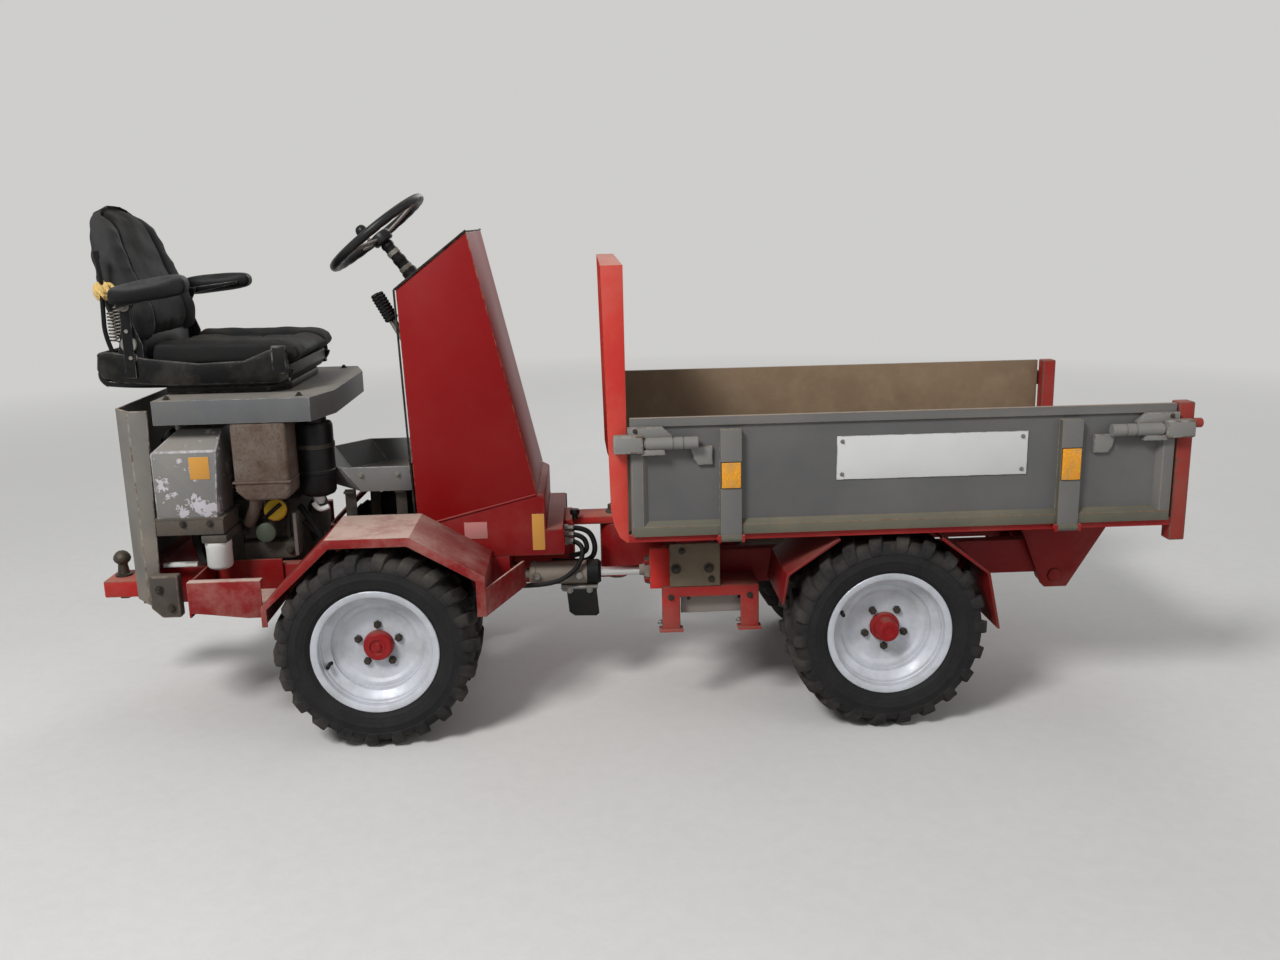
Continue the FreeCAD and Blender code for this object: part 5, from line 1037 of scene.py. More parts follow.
# Seat frame: two slide rails on the deck, a black moulded tub between bent side tubes, recliner
# plates at the back's foot and the torn yellow foam that shows behind the right arm rest.
GLOSS_BLACK = worn_paint("scuffed_black_enamel", "black_plastic", tone(8, 8, 10), tone(26, 26, 28),
                         tone(90, 88, 84), tone(96, 88, 78), dust=0.35, chips=0.02, gloss=0.28)
DUSTY_TUB = worn_paint("dusty_black_shell", "black_plastic", tone(8, 8, 9), tone(20, 20, 21),
                       tone(60, 57, 52), tone(92, 86, 76), dust=0.35, chips=0.03, gloss=0.36, film_share=0.3)


def foam_finish():
    paint = Finish("torn_yellow_foam", "seat_fabric")
    pores = paint.noise(160.0, 8.0, 0.8)
    colour = paint.mix(tone(186, 140, 48), tone(232, 206, 142), pores)
    return paint.set(Base_Color=colour, Roughness=0.95, Normal=paint.bump(pores, 0.004, 0.9))


FOAM = foam_finish()
slides = Assembly("seat_slides", "rear_chassis")
for y in (-0.150, 0.128):
    slides.add(block((-1.160, y, 0.9252), (-0.880, y + 0.022, 0.934), 0.0012), STEEL)
    slides.add(block((-1.154, y + 0.003, 0.934), (-0.886, y + 0.019, 0.947), 0.0012), GLOSS_BLACK)
slides.add(block((-1.130, -0.128, 0.926), (-1.100, 0.128, 0.944), 0.002), GLOSS_BLACK)
slides.add(block((-0.930, -0.128, 0.926), (-0.900, 0.128, 0.944), 0.002), GLOSS_BLACK)
slides.add(plate(((-1.200, -0.212), (-0.930, -0.212), (-0.878, -0.160), (-0.878, 0.160), (-0.930, 0.212),
                  (-1.200, 0.212)), "z", 0.9255, 0.9475, 0.006), DUSTY_TUB)
slides.done("seat_base")

tub = Assembly("seat_tub", "rear_chassis")
tub.add(plate(((-1.318, 0.992), (-1.296, 0.975), (-1.160, 0.9485), (-0.880, 0.9485), (-0.866, 0.968),
               (-0.866, 0.998), (-1.318, 0.998)), "y", -0.210, 0.210, 0.007), DUSTY_TUB)
tub.add(pipe([(-1.340, -0.224, 0.962), (-1.356, -0.224, 0.972), (-1.354, -0.224, 1.000),
              (-1.335, -0.224, 0.996), (-1.262, -0.224, 0.997), (-1.200, -0.224, 0.992),
              (-1.120, -0.224, 0.972), (-1.020, -0.224, 0.960), (-0.900, -0.224, 0.960),
              (-0.868, -0.224, 0.966)], 0.0115, 4), GLOSS_BLACK, both=True)
tub.add(pipe([(-1.345, -0.224, 0.964), (-1.300, -0.224, 0.958), (-1.160, -0.222, 0.956),
              (-0.900, -0.222, 0.958), (-0.868, -0.224, 0.972), (-0.864, -0.224, 0.990)], 0.0105, 4),
        GLOSS_BLACK, both=True)
tub.add(pipe([(-1.352, -0.224, 0.985), (-1.352, 0, 0.985), (-1.352, 0.224, 0.985)], 0.011, 4), GLOSS_BLACK)
shell_side = ((-1.364, 1.000), (-1.360, 1.030), (-1.344, 1.046), (-1.320, 1.046), (-1.230, 1.026),
              (-1.100, 1.010), (-0.980, 1.014), (-0.916, 1.040), (-0.880, 1.047), (-0.866, 1.036),
              (-0.862, 0.990), (-0.868, 0.964), (-0.890, 0.952), (-1.180, 0.952), (-1.300, 0.962),
              (-1.350, 0.976))
tub.add(plate(shell_side, "y", -0.2385, -0.2290, 0.004), DUSTY_TUB, both=True)
tub.add(block((-0.908, -0.2420, 0.975), (-0.866, -0.2290, 1.052), 0.006), GLOSS_BLACK, both=True)
tub.add(plate(((-1.364, 0.990), (-1.364, 1.040), (-1.352, 1.046), (-1.344, 1.040), (-1.344, 0.990)), "y",
              -0.229, 0.229, 0.004), DUSTY_TUB)
tub.add(block((-1.290, -0.176, 0.990), (-1.254, 0.176, 1.094), 0.006), GLOSS_BLACK)
for x, z in ((-1.318, 1.070), (-1.300, 1.085)):
    coil = [Vector((x + 0.011 * math.cos(turn * math.tau / 8), -0.214 + 0.011 * math.sin(turn * math.tau / 8),
                    z + turn * 0.0011)) for turn in range(72)]
    tub.add(pipe(coil, 0.0022, 2), STEEL)
tub.add(turned(((0, 0), (0, 0.0055), (0.082, 0.0055), (0.082, 0.0085), (0.102, 0.0085), (0.104, 0)),
               (-1.326, -0.232, 1.206), (-0.06, 0, 1), 14), GLOSS_BLACK)
tub.add(pipe([(-1.322, -0.226, 1.046), (-1.334, -0.232, 1.090), (-1.330, -0.234, 1.150), (-1.328, -0.233, 1.210)],
             0.006, 3), GLOSS_BLACK)
lump = bmesh.new()
bmesh.ops.create_icosphere(lump, subdivisions=4, radius=1.0)
for point in lump.verts:
    rough = 1.0 + 0.22 * math.sin(point.co.x * 7 + point.co.z * 5) * math.cos(point.co.y * 6 - point.co.z * 4)
    point.co = Vector((-1.326, -0.226, 1.205)) + Vector((point.co.x * 0.026, point.co.y * 0.017,
                                                         point.co.z * 0.024)) * rough
tub.add(smooth_mesh(lump, "lump", 180), FOAM)
tub.add(plate(((-1.318, 0.984), (-1.240, 0.984), (-1.238, 1.060), (-1.262, 1.126), (-1.286, 1.128),
               (-1.300, 1.060)), "y", -0.236, -0.2305, 0.0015), GLOSS_BLACK, both=True)
tub.add(bolts([(-1.272, -0.2365, 1.100), (-1.268, -0.2365, 1.030)], (0, -1, 0), 1.1), STEEL, both=True)
tub.add(turned(((0, 0), (0, 0.020), (0.004, 0.022), (0.009, 0.020), (0.009, 0)), (-1.272, -0.2365, 1.065),
               (0, -1, 0)), STEEL, both=True)
tub.done("seat_pan")


# Seat cushion and back: foam under a sewn cover, black in the middle with grey side bolsters and a
# piped seam between. Each is blown up as cloth, then its seams are drawn in.
def cover_finish():
    paint = Finish("black_and_grey_seat_cover", "seat_fabric")
    side = paint.attribute("bolster")
    soil = paint.noise(6.0, 7.0, 0.65).over(0.52, 0.3)
    fine = paint.noise(260.0, 3.0, 0.6)
    weave = paint.cells(620.0)
    dark = paint.mix(tone(4, 4, 6), tone(13, 13, 15), fine)
    grey = paint.mix(tone(36, 37, 38), tone(52, 52, 52), fine)
    colour = paint.mix(dark, grey, side)
    up = paint.facing.axis("Z").over(0.8, 0.4)
    colour = paint.mix(colour, tone(96, 88, 76), (soil * 0.07 + up * soil * 0.16).held())
    crease = paint.noise(34.0, 5.0, 0.6, warp=0.8)
    return paint.set(Base_Color=colour, Roughness=0.6 + soil * 0.2, Specular_IOR_Level=0.14,
                     Normal=paint.bump(weave * 0.35 + crease * 0.8, 0.0012, 0.6))


COVER = cover_finish()


def padded(name, mesh, cap, frames=20, voxel=0.006):
    """Foam under a cover: evened out, blown up as cloth, its swelling capped, then smoothed."""
    piece = link(name, mesh)
    even = piece.modifiers.new("even_cloth", "REMESH")
    even.mode, even.voxel_size = "VOXEL", voxel
    plain_mesh(piece)
    before = [point.co.copy() for point in piece.data.vertices]
    scene = bpy.context.scene
    blown = piece.modifiers.new("blown_up", "CLOTH")
    blown.settings.use_pressure = True
    blown.settings.uniform_pressure_force = 4.0
    blown.settings.effector_weights.gravity = 0.0
    blown.point_cache.frame_start, blown.point_cache.frame_end = 1, frames
    for number in range(1, frames + 1):
        scene.frame_set(number)
    plain_mesh(piece)
    scene.frame_set(1)
    for point, start in zip(piece.data.vertices, before):
        move = point.co - start
        if move.length > cap:
            point.co = start + move * (cap / move.length)
    calm = piece.modifiers.new("calm_cover", "SMOOTH")
    calm.factor, calm.iterations = 0.5, 9
    smooth = piece.modifiers.new("smooth_cover", "SUBSURF")
    smooth.levels = smooth.render_levels = 1
    plain_mesh(piece)
    piece.data.polygons.foreach_set("use_smooth", [True] * len(piece.data.polygons))
    return piece


def groove(distance, width, depth):
    """How far a sewn seam pulls the cover in at a distance from its line."""
    return depth * math.exp(-(distance / width) ** 2)


def cover_done(piece, node_name):
    piece.data.materials.clear()
    piece.data.materials.append(COVER.material)
    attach(piece, "rear_chassis")
    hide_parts(node_name)


SEAM = 0.128
cushion_side = ((-1.236, 1.010), (-1.212, 1.005), (-0.866, 1.005), (-0.838, 1.014), (-0.832, 1.026),
                (-0.842, 1.040), (-0.900, 1.050), (-1.120, 1.052), (-1.226, 1.054))
seat_cushion = padded("seat_cushion_cover", plate(cushion_side, "y", -0.218, 0.218, 0.014), 0.008)
for point in seat_cushion.data.vertices:
    spot = point.co
    up = min(1.0, max(0.0, (spot.z - 1.024) / 0.014))
    side = min(1.0, max(0.0, (abs(spot.y) - SEAM) / 0.05))
    length = min(1.0, max(0.0, (spot.x + 1.24) / 0.40))
    spot.z += up * (0.014 * side * (1 - side * 0.5) - 0.012 * (1 - side) * math.sin(math.pi * length))
    spot.z -= up * groove(abs(spot.y) - SEAM, 0.006, 0.007)
    if abs(spot.y) < SEAM:
        spot.z -= up * (groove(spot.x + 1.02, 0.006, 0.005) + groove(spot.x + 0.93, 0.006, 0.005))
    spot.z += up * 0.0016 * math.sin(spot.x * 61 + spot.y * 23) * math.sin(spot.y * 47 - spot.x * 13)
    spot.z = max(spot.z, 1.0012)
    spot.x = min(spot.x, -0.823)
    spot.y = min(0.2282, max(-0.2282, spot.y))
mark(seat_cushion, "bolster", [0.25 * min(1.0, max(0.0, (abs(point.co.y) - SEAM) / 0.03))
                               for point in seat_cushion.data.vertices])
cover_done(seat_cushion, "seat_cushion")

LEAN = Matrix.Translation((-1.215, 0, 1.070)) @ Matrix.Rotation(math.radians(-16), 4, "Y")
LEAN_BACK = LEAN.inverted()
ACROSS_BACK = LEAN @ Matrix(((0, 0, 1, 0), (1, 0, 0, 0), (0, 1, 0, 0), (0, 0, 0, 1)))
half = [(0.190, 0.004), (0.204, 0.050), (0.208, 0.130), (0.204, 0.215), (0.190, 0.275), (0.166, 0.322),
        (0.132, 0.356), (0.090, 0.378), (0.045, 0.387)]
back_outline = half + [(-across, up) for across, up in reversed(half)]
back_mesh = plate(back_outline, "z", -0.098, -0.012, 0.018)
back_mesh.transform(ACROSS_BACK)
seat_back = padded("seat_back_cover", back_mesh, 0.011)


def back_inside(height):
    """Half the width of the back's middle panel, which narrows towards the top in a soft curve."""
    return SEAM - 0.034 * max(0.0, min(1.0, (height - 0.16) / 0.20)) ** 2


values = []
for point in seat_back.data.vertices:
    spot = LEAN_BACK @ point.co
    front = min(1.0, max(0.0, (spot.x + 0.045) / 0.02))
    rear = min(1.0, max(0.0, (-0.070 - spot.x) / 0.02))
    inside = back_inside(spot.z)
    side = min(1.0, max(0.0, (abs(spot.y) - inside) / 0.04))
    spot.x -= front * (0.016 * (1 - side) + groove(abs(spot.y) - inside, 0.006, 0.007))
    spot.x += front * (0.014 * math.exp(-((spot.z - 0.10) / 0.07) ** 2)
                       - 0.014 * min(1.0, max(0.0, (spot.z - 0.27) / 0.11)) ** 2)
    spot.x += rear * 0.024 * min(1.0, max(0.0, (spot.z - 0.16) / 0.20))
    spot.x += 0.0016 * math.sin(spot.y * 41 + spot.z * 29) * math.sin(spot.z * 53 - spot.y * 17)
    point.co = LEAN @ spot
    values.append(min(1.0, max(0.0, (abs(spot.y) - inside) / 0.006))
                  * min(1.0, max(0.0, (spot.x + 0.085) / 0.02)))
mark(seat_back, "bolster", values)
cover_done(seat_back, "seat_back")

# Arm rests: moulded foam pads on flat steel arms that pivot on posts beside the back. Their upward
# faces carry a painted highlight in grey patches, strong on the right pad and faint on the left.
PAD_GREY = Finish("arm_pad_painted_sheen", "seat_fabric")
pad_fine = PAD_GREY.noise(220.0, 4.0, 0.6)
# Painted highlight: upward faces turn grey in patches, the right pad much more than the left.
pad_painted_sheen = PAD_GREY.facing.axis("Z").over(0.55, 0.7) * PAD_GREY.noise(12.0, 6.0).over(0.45, 0.3)
pad_colour = PAD_GREY.mix(tone(12, 12, 14), tone(26, 26, 27), pad_fine)
pad_right = PAD_GREY.place.axis("Y").over(0.0, 0.1)
PAD_GREY.set(Base_Color=PAD_GREY.mix(pad_colour, tone(92, 92, 93), pad_painted_sheen * (0.62 - pad_right * 0.5)),
             Roughness=0.55, Specular_IOR_Level=0.2,
             Normal=PAD_GREY.bump(pad_fine + PAD_GREY.noise(24.0, 5.0) * 1.5, 0.0012, 0.5))
arms = []
RIGHT_PAD = ((-1.288, 1.172), (-1.289, 1.205), (-1.278, 1.217), (-1.112, 1.245), (-1.095, 1.240),
             (-1.088, 1.226), (-1.089, 1.206), (-1.100, 1.195))
LEFT_PAD = ((-1.288, 1.162), (-1.289, 1.204), (-1.278, 1.214), (-1.110, 1.224), (-1.094, 1.219),
            (-1.087, 1.206), (-1.090, 1.190), (-1.102, 1.182))
for side, profile in ((-1, RIGHT_PAD), (1, LEFT_PAD)):
    low_y, high_y = sorted((side * 0.260, side * 0.310))
    pad = padded("arm_pad_" + ("right" if side < 0 else "left"),
                 plate(profile, "y", low_y, high_y, 0.010), 0.004, 14, 0.004)
    pad.data.materials.clear()
    pad.data.materials.append(PAD_GREY.material)
    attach(pad, "rear_chassis")
    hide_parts("armrests")
posts = Assembly("arm_rest_posts", "rear_chassis")
posts.add(plate(((-1.287, 0.976), (-1.259, 0.976), (-1.257, 1.150), (-1.240, 1.184), (-1.284, 1.186)), "y",
                -0.246, -0.2385, 0.0015), GLOSS_BLACK, both=True)
posts.add(plate(((-1.288, 1.160), (-1.250, 1.168), (-1.120, 1.194), (-1.120, 1.202), (-1.288, 1.182)), "y",
                -0.262, -0.246, 0.002), GLOSS_BLACK, both=True)
posts.add(bolts([(-1.272, -0.247, 1.166)], (0, -1, 0), 1.2), STEEL, both=True)
posts.done("armrests")


# Console: the steering tower, folded from sheet and welded to its box on the frame. Deep red inside
# thin black strips along its rear and top edges, sun-faded along the front fold; the dash carries a few plain controls.
CONSOLE_RED = worn_paint("console_red_paint", "red_paint", tone(122, 5, 8), tone(132, 14, 15),
                         tone(150, 92, 66), tone(142, 110, 96), dust=0.5, chips=0.0, gloss=0.34,
                         film_share=0.03)
GAUGE_GLASS = Finish("dark_gauge_face", "black_plastic")
gauge_shade = GAUGE_GLASS.noise(80.0, 3.0)
GAUGE_GLASS.set(Base_Color=GAUGE_GLASS.mix(tone(22, 24, 26), tone(40, 42, 44), gauge_shade),
                Roughness=0.12 + gauge_shade * 0.1, Coat_Weight=0.6)
TOP_REAR, TOP_FRONT = Vector((-0.571, 0, 1.189)), Vector((-0.379, 0, 1.335))
DASH = (TOP_FRONT - TOP_REAR).normalized()
TILT = math.atan2(DASH.z, DASH.x)
DASH_UP = Vector((-math.sin(TILT), 0, math.cos(TILT)))


def strip(start, end, normal, across, thick, width=0.002):
    """A flat strip from start to end, lying on a slanted face, as wide as two distances along Y."""
    along = (end - start)
    corners = [start, end, end + normal * thick, start + normal * thick]
    return plate([(point.x, point.z) for point in corners], "y", *across, width)


tower = Assembly("steering_tower", "rear_chassis").take("console", CONSOLE_RED, 0.004)
for low_y, high_y in ((-0.226, -0.2165), (0.2165, 0.226)):
    tower.add(strip(TOP_REAR - DASH * 0.004, TOP_FRONT + DASH * 0.003, DASH_UP, (low_y, high_y), 0.006),
              HOSE_RUBBER)
    tower.add(strip(Vector((-0.574, 0, 1.190)), Vector((-0.556, 0, 0.560)), Vector((-1, 0, 0.03)),
                    (low_y, high_y), 0.005), HOSE_RUBBER)
tower.add(strip(TOP_REAR - DASH * 0.004, TOP_REAR + DASH * 0.006, DASH_UP, (-0.222, 0.222), 0.005), HOSE_RUBBER)
tower.add(strip(TOP_FRONT - DASH * 0.008, TOP_FRONT + DASH * 0.002, DASH_UP, (-0.222, 0.222), 0.004),
          HOSE_RUBBER)
GAUGE_SPOT = TOP_REAR + DASH * 0.150
for y, radius in ((-0.085, 0.030), (0.085, 0.030)):
    spot = GAUGE_SPOT + Vector((0, y, 0))
    tower.add(turned(((0, 0), (0, radius), (0.007, radius), (0.008, radius - 0.004), (0.005, radius - 0.005),
                      (0.004, 0)), spot, DASH_UP), BLACK_PLASTIC)
    tower.add(turned(((0.0, 0), (0.0, radius - 0.005), (0.0048, radius - 0.005), (0.0048, 0)), spot, DASH_UP),
              GAUGE_GLASS)
for y in (-0.160, -0.135, 0.135, 0.160):
    spot = TOP_REAR + DASH * 0.075 + Vector((0, y, 0))
    tower.add(turned(((0, 0), (0, 0.009), (0.004, 0.009), (0.010, 0.006), (0.011, 0)), spot, DASH_UP, 16),
              BLACK_PLASTIC if abs(y) < 0.15 else ORANGE)
tower.add(bolts([tuple(TOP_REAR + DASH * along + Vector((0, y, 0))) for along in (0.022, 0.222)
                 for y in (-0.19, 0.19)], DASH_UP, 0.7), STEEL)
tower.done()

LABEL_GREY = worn_paint("faded_bare_label", "filter_white", tone(176, 116, 112), tone(150, 96, 92),
                        tone(130, 60, 56), tone(150, 124, 112), dust=0.3, chips=0.06, gloss=0.45)
welded_box = Assembly("console_box", "rear_chassis").take("console_base", RED, 0.004)
welded_box.add(block((-0.426, -0.2236, 0.500), (-0.362, -0.2216, 0.548), 0.0008), LABEL_GREY)
welded_box.add(block((-0.238, -0.2236, 0.462), (-0.204, -0.2216, 0.566), 0.0008), ORANGE)
for (x0, z0), (x1, z1) in (((-0.548, 0.541), (-0.224, 0.621)), ((-0.152, 0.452), (-0.152, 0.516))):
    welded_box.add(pipe([(x0, -0.2225, z0), ((x0 + x1) / 2, -0.2225, (z0 + z1) / 2), (x1, -0.2225, z1)],
                        0.0032, 2), RED, both=True)
welded_box.done()


# Steering wheel: moulded rim over a steel ring on three bright spokes, with a turning knob. It
# stands on a tube with silver collars, square to the dash.
WHEEL_HUB = TOP_REAR + DASH * 0.028 + DASH_UP * 0.1633
RIM_BLACK = worn_paint("handled_rim_plastic", "black_plastic", tone(22, 22, 24), tone(40, 40, 42),
                       tone(72, 70, 66), tone(96, 88, 78), dust=0.35, chips=0.0, gloss=0.3)
steering = Assembly("steering_wheel_and_knob", "steering_wheel")
on_hub = Matrix.Translation(WHEEL_HUB) @ Matrix.Rotation(-TILT, 4, "Y")


def on_wheel(mesh):
    mesh.transform(on_hub)
    return mesh


ring, count, sides = [], 72, 14
for step in range(count):
    turn = math.tau * step / count
    for side in range(sides):
        lean = math.tau * side / sides
        grip = 0.0128 - (0.0009 if step % 3 == 0 and math.sin(lean) < -0.2 else 0.0)
        reach = 0.152 + grip * math.cos(lean)
        ring.append((reach * math.cos(turn), reach * math.sin(turn), grip * math.sin(lean)))
faces = [(step * sides + side, (step + 1) % count * sides + side,
          (step + 1) % count * sides + (side + 1) % sides, step * sides + (side + 1) % sides)
         for step in range(count) for side in range(sides)]
steering.add(on_wheel(mesh_of("steering_rim", ring, faces, True)), RIM_BLACK)
steering.add(on_wheel(turned(((-0.034, 0), (-0.034, 0.026), (-0.030, 0.030), (-0.010, 0.030), (-0.004, 0.026),
                              (-0.002, 0.018), (-0.001, 0)), (0, 0, 0))), RIM_BLACK)
for number in range(3):
    turn = math.tau * number / 3
    for offset in (-0.005, 0.005):
        line = [Vector((0.020, offset, -0.018)), Vector((0.060, offset, -0.014)),
                Vector((0.120, offset * 1.4, -0.005)), Vector((0.146, offset * 1.8, -0.001))]
        spoke = pipe([Matrix.Rotation(turn, 3, "Z") @ point for point in line], 0.0042, 3)
        steering.add(on_wheel(spoke), STEEL)
knob_x, knob_y = (-0.152 * math.sin(math.radians(20)), 0.152 * math.cos(math.radians(20)))
steering.add(on_wheel(pin((knob_x, knob_y, 0), (0, 0, 1), 0.030, 0.0055)), STEEL)
steering.add(on_wheel(turned(((0.027, 0), (0.027, 0.010), (0.031, 0.0155), (0.040, 0.0178), (0.048, 0.0178),
                              (0.056, 0.0150), (0.062, 0.0090), (0.0635, 0)), (knob_x, knob_y, 0))), RIM_BLACK)
steering.done("steering_wheel")

column = Assembly("steering_column_tube", "rear_chassis")
foot = TOP_REAR + DASH * 0.028 + DASH_UP * 0.0004
column.add(turned(((0, 0), (0, 0.026), (0.006, 0.026), (0.009, 0.0235), (0.030, 0.0225), (0.034, 0.019),
                   (0.060, 0.0175), (0.062, 0.0188), (0.074, 0.0188), (0.076, 0.0170), (0.112, 0.0165),
                   (0.114, 0.0186), (0.122, 0.0186), (0.128, 0.0150), (0.128, 0)), foot, DASH_UP), BLACK_PLASTIC)
for low, high, radius in ((0.0335, 0.046, 0.0205), (0.086, 0.100, 0.0189)):
    column.add(turned(((low, 0), (low, radius - 0.001), (low + 0.001, radius), (high - 0.001, radius),
                       (high, radius - 0.001), (high, 0)), foot, DASH_UP), STEEL)
column.done("steering_column")

# Levers: two bent rods with ribbed rubber grips on one cross shaft inside the tower.
LEVER_FOOT, LEVER_TOP = Vector((-0.538, 0, 0.985)), Vector((-0.640, 0, 1.176))
LEVER_WAY = (LEVER_TOP - LEVER_FOOT).normalized()
levers = Assembly("hand_levers", "rear_chassis")
levers.add(pin((-0.538, -0.2155, 0.985), (0, 1, 0), 0.431, 0.0088), STEEL)
grip = [(0.0, 0.0), (0.0, 0.010)]
for step in range(8):
    grip += [(0.004 + step * 0.009, 0.0142), (0.009 + step * 0.009, 0.0146), (0.0115 + step * 0.009, 0.0118)]
grip += [(0.078, 0.0138), (0.083, 0.0105), (0.084, 0.0)]
for y in (-0.150, -0.096):
    side = Vector((0, y, 0))
    levers.add(turned(((-0.012, 0), (-0.012, 0.017), (0.012, 0.017), (0.012, 0)), LEVER_FOOT + side, (0, 1, 0)),
               STEEL)
    levers.add(pin(LEVER_FOOT + side, LEVER_WAY, 0.140, 0.0058), STEEL)
    levers.add(turned(grip, LEVER_TOP + side - LEVER_WAY * 0.084, LEVER_WAY), BLACK_PLASTIC)
levers.done("control_levers")


# Steering joint: a welded yoke on the driver's half grips a tongue of the load half round one pin.
# Beside it lie the steering cylinder, its hoses and a grab knob for the locking pin.
PIN_STEEL = steel_finish("greasy_pin_steel", "black_steel", tone(44, 40, 36), tone(92, 86, 78), 0.45, 0.6, 0.6)
CYLINDER_DUST = worn_paint("dusty_cylinder_paint", "dusty_steel", tone(112, 104, 96), tone(140, 130, 118),
                           tone(70, 62, 54), tone(156, 142, 124), dust=0.9, chips=0.05, gloss=0.6, low=0.5)
CHROME = Finish("wiped_chrome_rod", "rod_chrome")
chrome_streak = CHROME.noise(8.0, 4.0, place=CHROME.stretched((1.0, 12.0, 12.0)))
CHROME.set(Base_Color=CHROME.mix(tone(196, 196, 194), tone(224, 224, 222), chrome_streak), Metallic=1.0,
           Roughness=0.14 + chrome_streak * 0.12)

on_pin = lambda spot, facing: spot.xy.length < 0.031 and not 0.3195 < spot.z < 0.5085
yoke = Assembly("steering_yoke", "rear_chassis").take("pivot_yoke", FADED_RED, 0.004, [(on_pin, PIN_STEEL)])
yoke.add(turned(((0, 0), (0, 0.021), (0.002, 0.024), (0.014, 0.024), (0.016, 0.021), (0.016, 0)),
                (0, 0, 0.5175), steps=6), PIN_STEEL)
yoke.add(turned(((0, 0), (0, 0.004), (0.006, 0.004), (0.009, 0.0055), (0.012, 0.003), (0.013, 0)),
                (0, 0, 0.533), steps=12), STEEL)
yoke.add(turned(((0, 0), (0, 0.009), (0.010, 0.008), (0.012, 0.0125), (0.020, 0.0150), (0.028, 0.0120),
                 (0.031, 0)), (-0.121, -0.058, 0.507), steps=20), BLACK_PLASTIC)
yoke.add(pipe([(-0.130, -0.0775, 0.330), (-0.130, -0.0775, 0.410), (-0.130, -0.0775, 0.500)], 0.004, 2),
         FADED_RED, both=True)
for y, z in ((-0.100, 0.500), (-0.128, 0.488), (-0.156, 0.476)):
    yoke.add(turned(((0, 0), (0, 0.011), (0.010, 0.011), (0.011, 0.0085), (0.026, 0.0085), (0.026, 0)),
                    (-0.152, y, z - 0.010), (1, 0, 0), 6), STEEL)
yoke.add(pipe([(-0.128, -0.100, 0.490), (-0.085, -0.100, 0.488), (-0.062, -0.108, 0.440),
               (-0.072, -0.120, 0.400), (-0.120, -0.128, 0.395), (-0.190, -0.135, 0.404)], 0.0078, 4),
         HOSE_RUBBER)
yoke.add(pipe([(-0.128, -0.128, 0.478), (-0.098, -0.132, 0.474), (-0.085, -0.140, 0.440),
               (-0.100, -0.146, 0.424), (-0.140, -0.150, 0.420)], 0.0074, 4), HOSE_RUBBER)
yoke.add(pipe([(-0.128, -0.156, 0.466), (-0.104, -0.170, 0.462), (-0.098, -0.186, 0.430),
               (-0.130, -0.196, 0.380), (-0.200, -0.204, 0.350), (-0.300, -0.200, 0.352)], 0.0070, 4),
         HOSE_RUBBER)
yoke.done()
Assembly("pivot_tongue_block", "front_chassis").take("pivot_tongue", RED, 0.003).done()


def ram(name, body, foot, along, cross, length, radius, neck, rod_radius, ports):
    """A hydraulic barrel: foot eye, neck, tube, screwed black end cap and port bosses."""
    foot, along, cross = Vector(foot), Vector(along).normalized(), Vector(cross)
    side = along.cross(cross)
    piece = Assembly(name, body)
    piece.add(turned(((0.008, 0), (0.008, 0.0152), (neck, 0.0155), (neck + 0.003, radius - 0.004),
                      (neck + 0.006, radius - 0.0005), (neck + 0.018, radius - 0.0005),
                      (neck + 0.020, radius - 0.0025), (length - 0.040, radius - 0.0025),
                      (length - 0.040, 0)), foot, along, 36), CYLINDER_DUST)
    piece.add(turned(((length - 0.0405, 0), (length - 0.0405, radius - 0.0005), (length - 0.008, radius - 0.0005),
                      (length - 0.004, radius - 0.004), (length, radius - 0.006), (length, rod_radius + 0.002),
                      (length - 0.008, rod_radius + 0.0008), (length - 0.008, 0)), foot, along, 36), HOSE_RUBBER)
    piece.add(turned(((-0.0195, 0), (-0.0195, 0.0175), (-0.0165, 0.0198), (0.0165, 0.0198), (0.0195, 0.0175),
                      (0.0195, 0)), foot, cross, 28), CYLINDER_DUST)
    for reach in ports:
        piece.add(turned(((0, 0), (0, 0.011), (0.010, 0.011), (0.011, 0.0085), (0.014, 0.0085), (0.014, 0)),
                         foot + along * reach + side * (radius - 0.006), side, 6), STEEL)
    return piece


def ram_rod(name, body, eye, along, cross, length, radius):
    """The polished rod with the eye welded to its end."""
    eye, along = Vector(eye), Vector(along).normalized()
    piece = Assembly(name, body)
    piece.add(pin(eye - along * length, along, length - 0.012, radius - 0.0003), CHROME)
    piece.add(turned(((-0.0195, 0), (-0.0195, 0.0170), (-0.0165, 0.0198), (0.0165, 0.0198), (0.0195, 0.0170),
                      (0.0195, 0)), eye, cross, 28), CYLINDER_DUST)
    piece.add(turned(((0.010, 0), (0.010, radius + 0.0015), (0.028, radius + 0.0015), (0.030, radius), (0.030, 0)),
                     eye, -along, 24), CYLINDER_DUST)
    return piece


def pin_heads(spots, along):
    """Chamfered heads of a linkage pin, with a grease nipple's stub in the middle."""
    heads = []
    for spot, sign in spots:
        way = Vector(along) * sign
        heads.append(turned(((0, 0), (0, 0.0150), (0.006, 0.0150), (0.0075, 0.0135), (0.0075, 0.0042),
                             (0.0115, 0.0042), (0.0125, 0.0030), (0.0125, 0)), spot, way, 24))
    return heads


